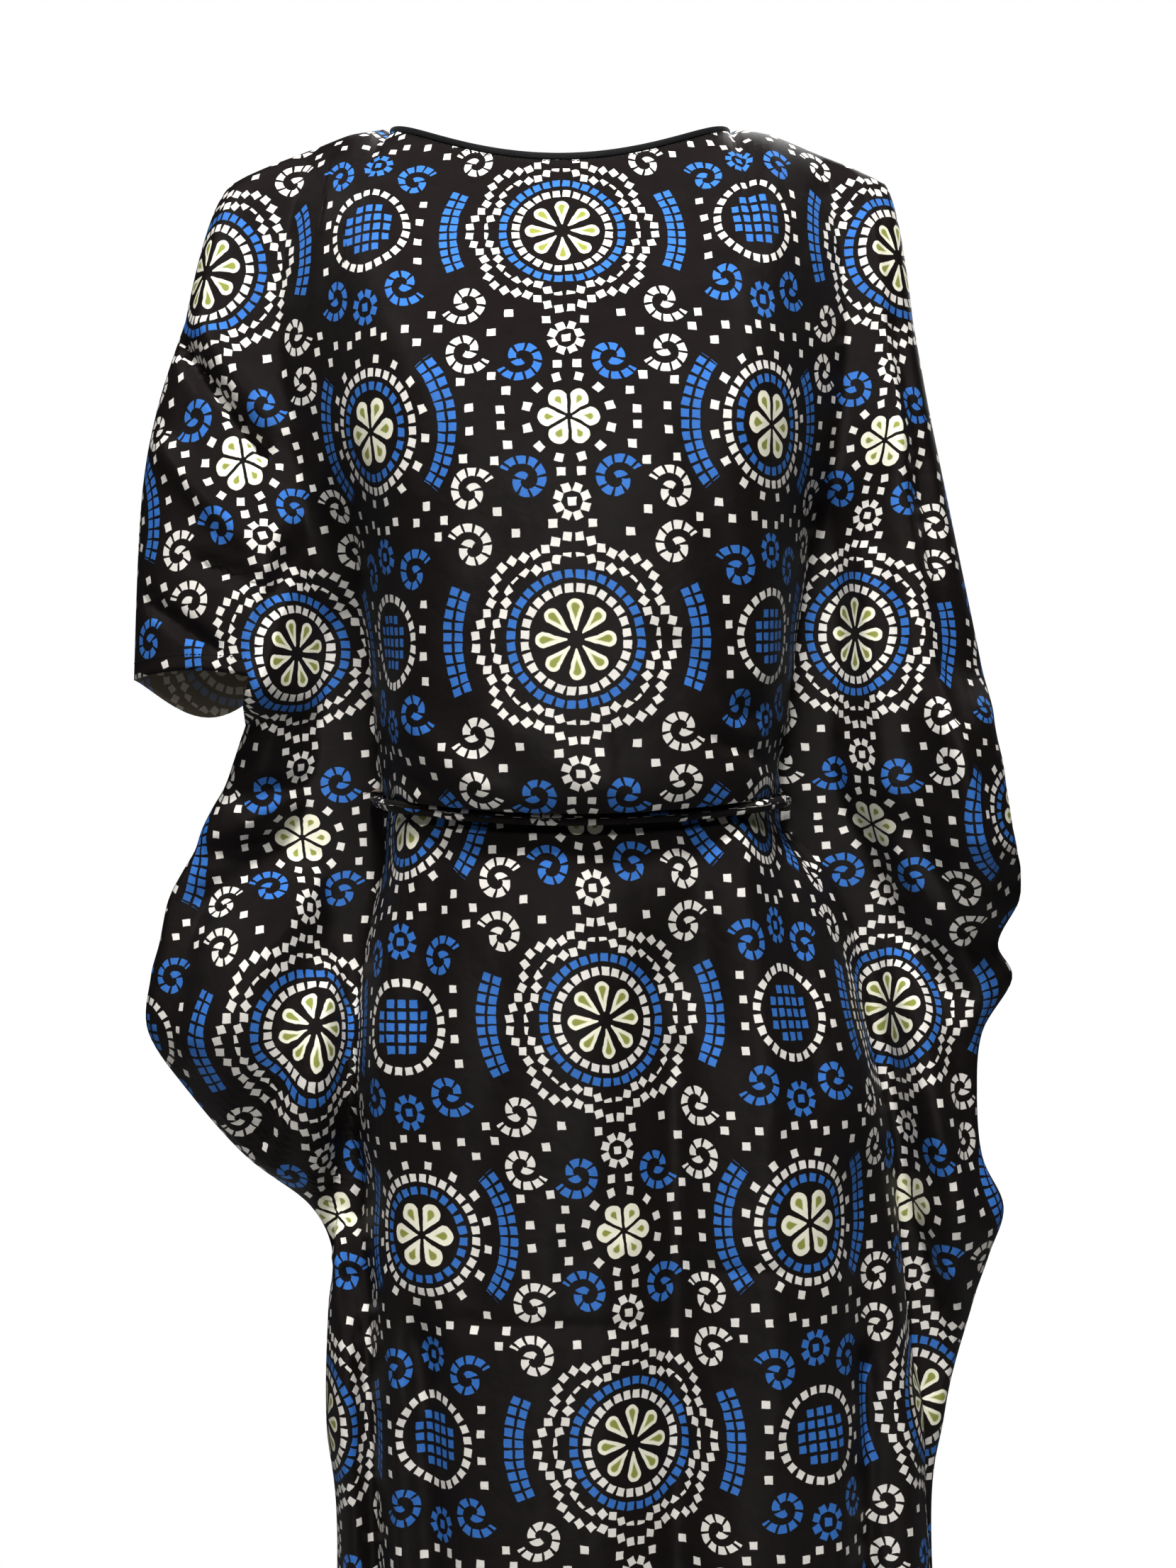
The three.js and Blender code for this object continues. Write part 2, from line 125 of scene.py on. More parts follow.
# A fold runs from x0, z0 to x1, z1 and stands out by depth, or sinks in where that is negative, over a
# half width of width. The columns are x0, z0, x1, z1, depth, width.
FRONT_FOLDS = (
    (-152, -80, -136, -210, -9, 26),
    (-114, -240, -108, -400, -26, 17),
    (-113, -315, -107, -400, -24, 16),
    (-126, -190, -124, -400, -18, 34),
    (-122, -290, -124, -400, -20, 28),
    (-154, -240, -168, -335, 13, 16),
    (-120, -388, -212, -440, -16, 14),
    (-124, -412, -196, -506, 9, 15),
    (-122, -446, -166, -560, -15, 15),
    (-113, -412, -117, -640, -36, 11),
    (154, -90, 142, -210, -9, 26),
    (143, -235, 133, -380, -25, 16),
    (141, -300, 131, -380, -24, 15),
    (150, -190, 150, -400, -16, 32),
    (148, -290, 148, -400, -16, 26),
    (186, -180, 226, -430, 12, 17),
    (136, -368, 212, -478, -21, 14),
    (150, -420, 206, -560, 11, 15),
    (168, -430, 208, -690, -34, 14),
    (58, -490, 66, -1372, -22, 28),
    (-106, -600, -84, -1372, -25, 13),
    (-73, -672, -36, -1372, -16, 12),
    (165, -600, 186, -1372, -24, 18),
    (8, -860, 2, -1372, -15, 24),
    (122, -860, 128, -1372, -17, 24),
)
BACK_FOLDS = (
    (-118, -180, -112, -400, -26, 22),
    (126, -180, 132, -400, -26, 22),
    (-160, -300, -190, -500, -12, 26),
    (176, -300, 206, -520, -16, 26),
    (-112, -420, -116, -640, -24, 20),
    (170, -430, 206, -690, -26, 20),
    (-86, -640, -92, -1372, -24, 24),
    (-20, -560, -30, -1372, -22, 28),
    (58, -600, 62, -1372, -24, 28),
    (128, -620, 142, -1372, -22, 24),
)
# Smaller creases that only the cloth itself shows.
FRONT_CREASES = (
    (-210, -126, -164, -188, -11, 3.4),
    (-200, -114, -158, -170, 6, 7),
    (-196, -249, -160, -263, -5, 3.4),
    (-226, -270, -192, -296, -6, 4),
    (-216, -190, -176, -232, 6, 7),
    (-150, -250, -172, -310, -7, 6),
    (-178, -60, -196, -150, 3, 9),
    (-120, -60, -128, -180, -3, 12),
    (126, -60, 136, -190, -3, 12),
    (172, -60, 190, -190, 6, 8),
    (186, -120, 206, -240, -6, 6),
    (196, -200, 216, -330, -7, 7),
    (166, -250, 180, -370, 7, 7),
    (210, -330, 238, -420, 6, 7),
    (2, -60, 27, -372, 1.6, 2.2),
    (-52, -653, 52, -655, -2.2, 3.5),
    (80, -626, 118, -626, -2.0, 3.5),
    (104, -330, 128, -318, -7, 7),
    (92, -350, 132, -366, -6, 6),
    (60, -300, 118, -352, -3, 9),
    (-80, -340, -40, -372, 3, 9),
    (-20, -345, 30, -374, 2.5, 12),
    (-96, -352, -60, -378, -4, 6),
    (-30, -250, -70, -350, -3, 14),
    (-112, -250, -110, -398, -8, 7),
    (143, -245, 134, -378, -8, 7),
    (-100, -90, -70, -160, 4, 14),
    (86, -80, 100, -170, 4, 14),
    (-60, -180, -90, -300, -4, 12),
    (70, -190, 96, -300, -4, 12),
    (-114, -388, -168, -404, -5, 6),
    (-128, -480, -160, -585, 5, 8),
    (-140, -370, -190, -378, -5, 7),
    (-206, -440, -218, -540, -5, 9),
    (-150, -395, -222, -420, -5, 7),
    (128, -386, 160, -452, 5, 7),
    (142, -392, 178, -520, -7, 8),
    (196, -400, 236, -470, -6, 8),
    (182, -560, 214, -640, 6, 8),
    (218, -520, 236, -600, -6, 8),
    (-60, -398, -74, -490, -5, 8),
    (-88, -398, -96, -520, 5, 8),
    (70, -398, 84, -500, -5, 9),
    (98, -398, 112, -540, 5, 8),
    (116, -396, 136, -520, -6, 8),
    (20, -399, 22, -450, -1.8, 8),
    (-104, -610, -80, -700, 5, 7),
    (150, -640, 176, -800, 5, 9),
    (-114, -412, -118, -640, -7, 6),
    (168, -430, 206, -690, -9, 7),
    (-107, -640, -92, -1100, -9, 5.5),
    (-92, -700, -74, -1372, 6, 9),
    (166, -690, 184, -1372, -9, 6),
    (150, -720, 168, -1372, 6, 9),
    (62, -520, 64, -900, -6, 8),
    (8, -620, 4, -860, -4, 10),
    (-30, -480, -44, -640, -4, 12),
    (110, -560, 116, -700, 4, 10),
)
BACK_CREASES = (
    (198, -150, 168, -190, -5, 7),
    (-196, -150, -166, -186, -5, 7),
    (-4, -40, -10, -370, 1.4, 2.4),
    (-90, -330, -60, -376, -4, 9),
    (70, -335, 96, -374, -4, 9),
    (-60, -398, -72, -500, -4, 10),
    (-20, -398, -22, -470, -3, 10),
    (24, -398, 28, -480, -3, 10),
    (76, -398, 92, -500, -4, 10),
    (-50, -655, 60, -653, -2.0, 3.5),
    (-150, -440, -190, -520, 5, 9),
    (180, -440, 210, -560, 5, 9),
)


# ---- Numbers along tables ------------------------------------------------------------------------

def lerp(a, b, t):
    """a at t = 0, b at t = 1, straight between."""
    return a + (b - a) * t


def smooth(a, b, value):
    """0 up to a, 1 from b, and 3t^2 - 2t^3 between."""
    t = np.clip((value - a) / (b - a), 0, 1)
    return t * t * (3 - 2 * t)


def section_at(place):
    """The cross section at each place along the table, by Catmull-Rom curves through its rows."""
    rows = np.array(SECTION_ROWS, float)
    last = len(rows) - 1
    low = np.clip(np.floor(place).astype(int), 0, last - 1)
    t = (place - low)[:, None]
    a, b, c, d = (rows[np.clip(low + step, 0, last)] for step in (-1, 0, 1, 2))
    values = (
        (2 * t**3 - 3 * t**2 + 1) * b
        + (t**3 - 2 * t**2 + t) * (c - a) / 2
        + (3 * t**2 - 2 * t**3) * c
        + (t**3 - t**2) * (d - b) / 2
    )
    return {name: values[:, i : i + 1] for i, name in enumerate(SECTION_COLUMNS)}


def row_places():
    """Where each row lies: its share of the shoulder (1 below it) and its place in the section table."""
    shares = [np.arange(SHOULDER_ROWS) / SHOULDER_ROWS]
    places = [np.zeros(SHOULDER_ROWS)]
    rows = np.array(SECTION_ROWS, float)
    z, wing, front = (SECTION_COLUMNS.index(name) for name in ("z", "wing", "front"))
    for i in range(len(rows) - 1):
        step = rows[i + 1] - rows[i]
        run = max(abs(step[wing]), math.hypot(step[z], step[front]))
        pitch = ROW_PITCH if rows[i, z] > KNEE else SKIRT_PITCH
        steps = COARSE * max(1, round(run / pitch / COARSE))
        places.append(i + np.arange(steps) / steps)
        shares.append(np.ones(steps))
    places.append([len(rows) - 1.0])
    shares.append([1.0])
    return np.concatenate(shares), np.concatenate(places)


# ---- The surface ---------------------------------------------------------------------------------

def fold_height(folds, x, z):
    """Sum over folds of depth * exp(-(across / width)^2 - (beyond / 2 width)^2): across is the distance
    from the fold's line and beyond how far a point lies past its ends."""
    height = np.zeros(np.broadcast(x, z).shape)
    for x0, z0, x1, z1, depth, width in folds:
        dx, dz = x1 - x0, z1 - z0
        length = math.hypot(dx, dz)
        along = ((x - x0) * dx + (z - z0) * dz) / length
        across = ((x - x0) * dz - (z - z0) * dx) / length
        beyond = np.maximum(0, np.maximum(-along, along - length))
        height += depth * np.exp(-((across / width) ** 2) - (beyond / (2 * width)) ** 2)
    return height


def body_span(section, outline):
    """The middle and half width of the body, never wider than the outline."""
    right = np.maximum(section["body_r"], outline["right"])
    left = np.minimum(section["body_l"], outline["left"])
    return (left + right) / 2, (left - right) / 2


def cloth_depth(side, section, outline, x, z):
    """Distance from the seam plane: (body^3.5 + wing^3.5)^(1/3.5) plus the folds. body is a superellipse
    over the body, wing is level to the outline and rounds away there as sqrt(1 - s^4)."""
    middle, half = body_span(section, outline)
    over = section["front"] if side < 0 else section["back"]
    body = over * np.maximum(0, 1 - (np.abs(x - middle) / half) ** BODY_POWER) ** (1 / BODY_POWER)
    on_right = x < middle
    edge = np.where(on_right, outline["right"], outline["left"])
    reach = np.where(on_right, section["wing_r"], section["wing_l"])
    s = np.clip((x - middle) / (edge - middle), 0, 1)
    wing = reach * np.sqrt(np.maximum(0, 1 - s**WING_POWER))
    plain = (body**UNION_POWER + wing**UNION_POWER) ** (1 / UNION_POWER)
    inside = np.minimum(x - outline["right"], outline["left"] - x)
    large, small = (FRONT_FOLDS, FRONT_CREASES) if side < 0 else (BACK_FOLDS, BACK_CREASES)
    folded = plain + smooth(0, EDGE_FADE["folds"], inside) * fold_height(large, x, z)
    folded = folded + smooth(0, EDGE_FADE["creases"], inside) * fold_height(small, x, z)
    return np.maximum(folded, np.minimum(plain, CLEARANCE))


def top_line(side, x):
    """Depth and height of the neck edge, an ellipse in plan that dips and sinks under its binding, and of
    the shoulder seam, a line that falls as share^1.25."""
    inside = np.maximum(0, 1 - (x / NECK["half_width"]) ** 2)
    depth, dip = ("front_depth", "front_dip") if side < 0 else ("back_depth", "back_dip")
    out = np.maximum(0, np.abs(x) - NECK["half_width"]) / (SHOULDER["corner"] - NECK["half_width"])
    beside = smooth(NECK_SEAT["blend"], 0, np.abs(x) - NECK["half_width"])
    fall = NECK[dip] * inside + NECK_SEAT["sink"] * beside
    return NECK[depth] * np.sqrt(inside), -SHOULDER["drop"] * out ** SHOULDER["slope"] - fall


def make_rows(side):
    """Everything that is constant along each row, as columns of one value a row."""
    share, place = (values[:, None] for values in row_places())
    section = section_at(place[:, 0])
    fall = 1 - np.cos(share * math.pi / 2)
    over_shoulder = share < 1
    sleeve = place <= CUFF_SECTION
    below = smooth(CUFF["right"], CUFF["underarm"], section["wing"])
    edge = np.where(sleeve, section["right"], lerp(section["right"], section["fold"], below))
    narrow_r, narrow_l = (
        np.where(over_shoulder, lerp(SHOULDER["corner"], wide, np.sqrt(fall)) / wide, 1)
        for wide in (-section["right"], section["left"])
    )
    outline = {"right": edge, "left": section["left"]}
    middle, half = body_span(section, outline)
    slit = smooth(CUFF["left_top"], CUFF["left_top"] - 40, section["wing"])
    slit = slit * (1 - smooth(CUFF["left_bottom"] + 30, CUFF["left_bottom"], section["wing"]))
    above, top, bottom, under = WAIST_BAND
    return {
        "share": share, "place": place, "section": section, "outline": outline,
        "over_shoulder": over_shoulder, "sleeve": sleeve, "narrow_r": narrow_r, "narrow_l": narrow_l,
        "middle": middle, "half": half, "slit": slit,
        "waist": smooth(above, top, section["z"]) * (1 - smooth(bottom, under, section["z"])),
        "cuff": np.where(sleeve, smooth(0.4, 1, place - CUFF_SECTION + 1), 0),
        "side": side,
    }


def row_points(rows, x):
    """Points of all rows at the given x of each: the height blends from the body's to the wing's, and over
    the shoulders from the top line to the yoke, turning as a quarter circle outside the neck."""
    side, section, outline = rows["side"], rows["section"], rows["outline"]
    share = np.abs(x - rows["middle"]) / rows["half"]
    on_body = 1 - smooth(*BODY_BLEND, share)
    body_z = section["z"] + WAIST_RISE * rows["waist"] * np.minimum(1, share) ** 2
    z = lerp(section["wing"] + 0 * x, body_z, on_body)
    depth = cloth_depth(side, section, outline, x, z)
    along_cuff = np.clip((x - section["right"]) / (section["fold"] - section["right"]), 0, 1)
    shift = CUFF["front_rise"] if side < 0 else -CUFF["back_dip"]
    z = z + rows["cuff"] * shift * np.sin(math.pi * along_cuff)
    near = smooth(CUFF["left_reach"], CUFF["left_full"], section["left"] - x)
    depth = depth + CUFF["left_gap"] * rows["slit"] * near

    yoke_x = x / np.where(x < 0, rows["narrow_r"], rows["narrow_l"])
    wide = np.where(x < 0, -section["right"], section["left"])
    top_depth, top_z = top_line(side, yoke_x * SHOULDER["corner"] / wide)
    yoke = cloth_depth(side, section, section_outline(section), yoke_x, YOKE["z"])
    outside = smooth(YOKE["round_from"], YOKE["round_to"], np.abs(x))
    turn = rows["share"] * math.pi / 2
    top_depth = lerp(top_depth, yoke, lerp(rows["share"], np.sin(turn), outside))
    top_z = lerp(top_z, YOKE["z"], lerp(rows["share"], 1 - np.cos(turn), outside))
    depth = np.where(rows["over_shoulder"], top_depth, depth)
    z = np.where(rows["over_shoulder"], top_z, z)
    return np.stack([x + 0 * z, side * depth, z], axis=-1)


def section_outline(section):
    """A section's own side edges, without the right cuff's narrowing."""
    return {"right": section["right"], "left": section["left"]}


def spaced(rows, start, end, count):
    """count + 1 points a row, evenly spaced by length between two x values."""
    t = (1 - np.cos(math.pi * np.arange(ROW_SAMPLES + 1) / ROW_SAMPLES)) / 2
    line = row_points(rows, lerp(start, end, t[None, :]))
    steps = np.linalg.norm(np.diff(line, axis=1), axis=2)
    length = np.concatenate([np.zeros((len(line), 1)), np.cumsum(steps, axis=1)], axis=1)
    wanted = np.arange(count + 1) / count
    result = np.empty((len(line), count + 1, 3))
    for r in range(len(line)):
        for axis in range(3):
            result[r, :, axis] = np.interp(wanted * length[r, -1], length[r], line[r, :, axis])
    return result


def panel_points(side):
    """A panel's outer face as a grid of points in millimetres, and which of them exist."""
    rows = make_rows(side)
    section, narrow_r, narrow_l = rows["section"], rows["narrow_r"], rows["narrow_l"]
    fold = section["fold"] * narrow_r
    right_crest = rows["middle"] - BODY_CREST * rows["half"]
    left_crest = rows["middle"] + BODY_CREST * rows["half"]
    right = section["right"] * narrow_r
    left = section["left"] * narrow_l
    sleeve = spaced(rows, right, fold, GRID["sleeve"])[:, :-1]
    sleeve = np.where(rows["sleeve"][:, :, None], sleeve, np.nan)
    points = np.concatenate(
        [
            sleeve,
            spaced(rows, fold, right_crest, GRID["right"])[:, :-1],
            spaced(rows, right_crest, left_crest, GRID["body"])[:, :-1],
            spaced(rows, left_crest, left, GRID["left"]),
        ],
        axis=1,
    )
    return points, ~np.isnan(points[..., 0])


# ---- The cloth laid flat -------------------------------------------------------------------------

def relax(flat, points, here, rounds):
    """Moves flat points until neighbours lie as far apart as on the cloth: each pair is moved along the line
    between them by its error, shared over the pairs that a point is in."""
    pairs = []
    for down, across in ((0, 1), (1, 0), (1, 1), (1, -1)):
        rows_a, rows_b = slice(0, flat.shape[0] - down), slice(down, None)
        if across >= 0:
            cols_a, cols_b = slice(0, flat.shape[1] - across), slice(across, None)
        else:
            cols_a, cols_b = slice(1, None), slice(0, -1)
        a, b = (rows_a, cols_a), (rows_b, cols_b)
        both = here[a] & here[b]
        rest = np.linalg.norm(np.where(both[..., None], points[b] - points[a], 1), axis=2)
        pairs.append((a, b, both, rest))
    for _ in range(rounds):
        move = np.zeros_like(flat)
        count = np.full(here.shape, 1e-9)
        for a, b, both, rest in pairs:
            gap = flat[b] - flat[a]
            size = np.maximum(np.linalg.norm(gap, axis=2), 1e-6)
            push = gap * (np.where(both, (size - rest) / size, 0) * 0.5)[..., None]
            move[a] += push
            move[b] -= push
            count[a] += both
            count[b] += both
        flat = flat + RELAX_PUSH * move / np.maximum(count, 1)[..., None]
    return flat


def lay_flat(points, here, rounds):
    """The cut's own coordinates: across from the centre line and down from the neck, in millimetres. The
    lengths along each row and down the middle are the start, which is relaxed on a coarse grid, filled in
    between by straight lines, relaxed on the full grid and turned upright."""
    filled = points.copy()
    cuff_row = int(np.argmin(here[:, 0])) - 1
    filled[cuff_row + 1 :, : GRID["sleeve"]] = points[cuff_row, : GRID["sleeve"]]
    centre = GRID["sleeve"] + GRID["right"] + GRID["body"] // 2
    across = np.linalg.norm(np.diff(filled, axis=1), axis=2)
    across = np.concatenate([np.zeros((len(filled), 1)), np.cumsum(across, axis=1)], axis=1)
    across -= across[:, centre : centre + 1]
    down = np.linalg.norm(np.diff(filled[:, centre], axis=0), axis=1)
    down = -np.concatenate([[0], np.cumsum(down)])
    flat = np.stack([across, np.broadcast_to(down[:, None], across.shape)], axis=-1)
    coarse = (slice(None, None, COARSE), slice(None, None, COARSE))
    small = relax(flat[coarse], points[coarse], here[coarse], rounds)
    rows, columns = (np.arange(size) / COARSE for size in here.shape)
    small_rows, small_columns = (np.arange(size) for size in small.shape[:2])
    for axis in range(2):
        tall = np.stack([np.interp(rows, small_rows, line) for line in small[..., axis].T], axis=1)
        flat[..., axis] = np.stack([np.interp(columns, small_columns, line) for line in tall])
    flat = relax(flat, points, here, FINE_ROUNDS)
    top, low = flat[0, centre], flat[-1, centre]
    turn = math.atan2(low[0] - top[0], top[1] - low[1])
    spin = np.array([[math.cos(turn), math.sin(turn)], [-math.sin(turn), math.cos(turn)]])
    return (flat - top) @ spin.T


# ---- Meshes --------------------------------------------------------------------------------------

def new_piece(name, vertices, faces, materials):
    """A smooth mesh object at the origin, riding on the one body."""
    mesh = bpy.data.meshes.new(name)
    mesh.from_pydata(vertices.tolist(), [], faces)
    mesh.polygons.foreach_set("use_smooth", np.ones(len(mesh.polygons), dtype=bool))
    for material in materials:
        mesh.materials.append(material)
    mesh.update()
    piece = bpy.data.objects.new(name, mesh)
    bpy.context.scene.collection.objects.link(piece)
    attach(piece, "root")
    return piece


def add_map(piece, name, flat):
    """A UV map that gives each vertex its flat coordinates."""
    mesh = piece.data
    corners = np.empty(len(mesh.loops), dtype=np.int32)
    mesh.loops.foreach_get("vertex_index", corners)
    layer = mesh.uv_layers.new(name=name)
    layer.data.foreach_set("uv", flat[corners].astype(np.float32).ravel())


def add_wall(piece, thickness):
    """Gives the sheet its thickness inwards, with the reverse's material on the inner face."""
    wall = piece.modifiers.new("Wall", "SOLIDIFY")
    wall.thickness = thickness
    wall.offset = -1
    wall.use_rim = True
    wall.material_offset = 1
    wall.material_offset_rim = 0


def keep_apart(mesh, side, thickness):
    """Moves the outer face away from the middle plane until the wall's inner face is half the seam gap from
    it: at least half the gap plus thickness times the normal's share across the plane."""
    place, normal = np.empty((2, len(mesh.vertices), 3))
    mesh.vertices.foreach_get("co", place.reshape(-1))
    mesh.vertices.foreach_get("normal", normal.reshape(-1))
    least = SEAM_GAP / 2 * MM + thickness * np.abs(normal[:, 1])
    place[:, 1] = side * np.maximum(least, side * place[:, 1])
    mesh.vertices.foreach_set("co", place.reshape(-1))
    mesh.update()
    return place


def grid_normals(points, side):
    """Unit normals of a grid: the cross product of its steps down and across."""
    down = np.gradient(points, axis=0)
    across = np.gradient(points, axis=1)
    normal = np.cross(down, across)
    return -side * normal / np.maximum(np.linalg.norm(normal, axis=2, keepdims=True), 1e-9)


def cloth_piece(name, side, sizes, materials):
    """A panel as a thin wall on its grid, with its flat coordinates as UV maps."""
    points, here = panel_points(side)
    flat = lay_flat(points, here, sizes.relax_rounds)
    index = np.full(here.shape, -1)
    index[here] = np.arange(here.sum())
    a, b, c, d = index[:-1, :-1], index[1:, :-1], index[1:, 1:], index[:-1, 1:]
    whole = (a >= 0) & (b >= 0) & (c >= 0) & (d >= 0)
    order = (a, b, c, d) if side < 0 else (a, d, c, b)
    faces = np.stack([corner[whole] for corner in order], axis=1)
    piece = new_piece(name, points[here] * MM, faces.tolist(), materials)
    points[here] = keep_apart(piece.data, side, sizes.thickness) / MM
    cut = flat[here] * MM
    add_map(piece, "FlatCut", cut)
    low = cut.min(axis=0)
    add_map(piece, "OFBake", (cut - low) / (cut - low).max())
    add_wall(piece, sizes.thickness)
    return piece, points, flat, here


def tube(name, path, out, up, section, closed, materials):
    """A section carried along a path: at each step, section[:, 0] along out and section[:, 1] along up. A
    tube that isn't closed has a face over each end."""
    rings = len(path)
    n = section.shape[-2]
    section = np.broadcast_to(section, (rings, n, 2))
    points = path[:, None] + section[..., :1] * out[:, None] + section[..., 1:] * up[:, None]
    ring = np.arange(rings if closed else rings - 1)[:, None]
    corner = np.arange(n)[None, :]
    following = (ring + 1) % rings
    a, b = ring * n + corner, ring * n + (corner + 1) % n
    c, d = following * n + (corner + 1) % n, following * n + corner
    faces = np.stack([a, b, c, d], axis=-1).reshape(-1, 4).tolist()
    if not closed:
        faces += [list(range(n))[::-1], list(range((rings - 1) * n, rings * n))]
    return new_piece(name, points.reshape(-1, 3) * MM, faces, materials)


# ---- Nodes ---------------------------------------------------------------------------------------

class Signal:
    """A value in a node tree; arithmetic on it adds Math nodes."""

    def __init__(self, tree, socket):
        self.tree = tree
        self.socket = socket

    def math(self, operation, *others, clamp=False):
        """A Math node's result for this signal and the others."""
        inputs = enumerate((self,) + others)
        node = add_node(self.tree, "Math", inputs, operation=operation, use_clamp=clamp)
        return Signal(self.tree, node.outputs[0])

    def __rsub__(self, other):
        return (self * -1).math("ADD", other)

    def pick(self, zero, one):
        """zero where this is 0 and one where it is 1."""
        return self.math("MULTIPLY_ADD", one - zero, zero)

    def ramp(self, start, end, low=0.0, high=1.0):
        """low up to start, high from end, and an S curve between."""
        names = ("Value", "From Min", "From Max", "To Min", "To Max")
        inputs = zip(names, (self, start, end, low, high))
        node = add_node(self.tree, "MapRange", inputs, interpolation_type="SMOOTHSTEP")
        return Signal(self.tree, node.outputs[0])


# The other methods of Signal, each a Math node's operation.
SIGNAL_MATH = {
    "__add__": "ADD", "__radd__": "ADD", "__sub__": "SUBTRACT", "__mul__": "MULTIPLY",
    "__rmul__": "MULTIPLY", "__truediv__": "DIVIDE", "__abs__": "ABSOLUTE", "floor": "FLOOR",
    "round": "ROUND", "cos": "COSINE", "sin": "SINE", "arctan": "ARCTANGENT", "arctan2": "ARCTAN2",
    "sqrt": "SQRT", "low": "MINIMUM", "high": "MAXIMUM", "above": "GREATER_THAN", "below": "LESS_THAN",
    "fold": "PINGPONG",
}
for method, operation in SIGNAL_MATH.items():
    setattr(Signal, method, partialmethod(Signal.math, operation))


def feed(tree, value, socket):
    """Links a signal or socket, or sets a plain value."""
    if isinstance(value, Signal):
        tree.links.new(value.socket, socket)
    elif isinstance(value, bpy.types.NodeSocket):
        tree.links.new(value, socket)
    else:
        socket.default_value = value


def add_node(tree, kind, inputs=(), **settings):
    """A shader node with these settings, its inputs fed by pairs of name or number and value."""
    node = tree.nodes.new("ShaderNode" + kind)
    for name, value in settings.items():
        setattr(node, name, value)
    for name, value in inputs:
        feed(tree, value, node.inputs[name])
    return node


def split(tree, vector):
    """The first two coordinates of a vector."""
    outputs = add_node(tree, "SeparateXYZ", [(0, vector)]).outputs
    return Signal(tree, outputs[0]), Signal(tree, outputs[1])


def join(tree, *values):
    """A vector from its coordinates."""
    return add_node(tree, "CombineXYZ", enumerate(values)).outputs[0]


def noise(tree, vector, scale, detail=2.0, roughness=0.5, colour=False):
    """Soft noise as a value, or as a colour where two values are wanted."""
    inputs = (("Vector", vector), ("Scale", scale), ("Detail", detail), ("Roughness", roughness))
    node = add_node(tree, "TexNoise", inputs)
    return node.outputs["Color"] if colour else Signal(tree, node.outputs["Fac"])


def blend(tree, share, low, high):
    """A colour between two, by share."""
    return add_node(tree, "Mix", ((0, share), (6, low), (7, high)), data_type="RGBA").outputs[2]


def group(name, inputs, outputs, fill):
    """A node group with float sockets, filled by a function of its inputs that returns its outputs."""
    tree = bpy.data.node_groups.new(name, "ShaderNodeTree")
    for way, labels in (("INPUT", inputs), ("OUTPUT", outputs)):
        for label in labels:
            tree.interface.new_socket(label, in_out=way, socket_type="NodeSocketFloat")
    start = tree.nodes.new("NodeGroupInput")
    end = tree.nodes.new("NodeGroupOutput")
    results = fill(tree, *(Signal(tree, start.outputs[i]) for i in range(len(inputs))))
    for i, result in enumerate(results):
        feed(tree, result, end.inputs[i])
    return tree


def use(tree, inner, *values):
    """A node group's outputs for these inputs."""
    node = add_node(tree, "Group", node_tree=inner)
    for i, value in enumerate(values):
        feed(tree, value, node.inputs[i])
    return [Signal(tree, socket) for socket in node.outputs]


# ---- The print -----------------------------------------------------------------------------------
# A mosaic of small squares on a dark ground, worked out in millimetres on the flat cloth. A square's
# distance is 0 in its middle, and a petal's is negative inside it.

HALF_REPEAT = 112
QUARTER = HALF_REPEAT / 2
PRINT_DROP = 50  # how far below the shoulder line the first rosettes lie
FAR = 50.0  # a distance outside every shape
# Each motif: its first ring's radius and how many more follow, its petals, where they start and end from the
# middle, and their half width. A disc's petals are left out.
MOTIF_COLUMNS = ("ring", "more", "petals", "start", "end", "width")
MOTIFS = {
    "rosette": (26.0, 3.0, 8.0, 5.0, 20.5, 4.1),
    "disc": (24.0, 0.0, 6.0, 0.0, 20.0, 2.0),
    "small": (21.5, 0.0, 6.0, 2.4, 15.5, 5.0),
    "daisy": (24.0, 2.0, 6.0, 3.0, 18.5, 5.6),
}
RING_STEP = 7.0
SQUARE_SHARE = 3.8  # a ring has one square more in each quarter for every so much of its radius
SCALLOP = {"lobes": 8.0, "height": 2.5}
SPIRAL = {"gap": 8.3, "pitch": 5.6, "turns": 1.42}
BEADS = {"radius": 7.4, "count": 8.0, "right_y": 69.0, "left_y": 46.0}
DISC_PITCH = 6.2
WOBBLE = {"scale": 0.12, "size": 1.6}  # how finely and how far the squares stray from their places


def square_ring(tree, x, y, radius, lobes, height, count):
    """count squares on the curve radius + height cos(lobes angle), each turned to the curve: the distance to
    the nearest is max(|across|, |along|) in its own axes, from the angle rounded to whole steps."""
    angle = y.arctan2(x)
    step = (angle * count / math.tau).floor() + 0.5
    at = step / count * math.tau
    wave = at * lobes
    reach = radius + height * wave.cos()
    centre = join(tree, reach * at.cos(), reach * at.sin())
    slope = (height * lobes * wave.sin() / reach).arctan()
    offset = add_node(tree, "VectorMath", ((0, join(tree, x, y)), (1, centre)), operation="SUBTRACT")
    inputs = (("Vector", offset.outputs[0]), ("Angle", slope - at))
    turned = add_node(tree, "VectorRotate", inputs, rotation_type="Z_AXIS")
    across, along = split(tree, turned.outputs[0])
    return [abs(across).high(abs(along))]


def square_spiral(tree, x, y, gap, pitch, turns):
    """Squares along a spiral whose radius grows by gap a turn: the arm nearest to a point is its radius less
    its angle's share of gap, rounded to whole turns, and its length from the middle, arm^2 pi / gap, is
    rounded to whole pitches."""
    angle = y.arctan2(x) / math.tau
    radius = (x * x + y * y).sqrt()
    lap = (radius / gap - angle + 0.5).floor()
    total = (lap + angle).high(0.0)
    length = total * total * (gap * math.pi)
    step = (length / pitch).floor() + 0.5
    along = length - step * pitch
    across = radius - total * gap
    inside = total.below(turns)
    return [abs(across).high(abs(along)) + (1.0 - inside) * FAR]


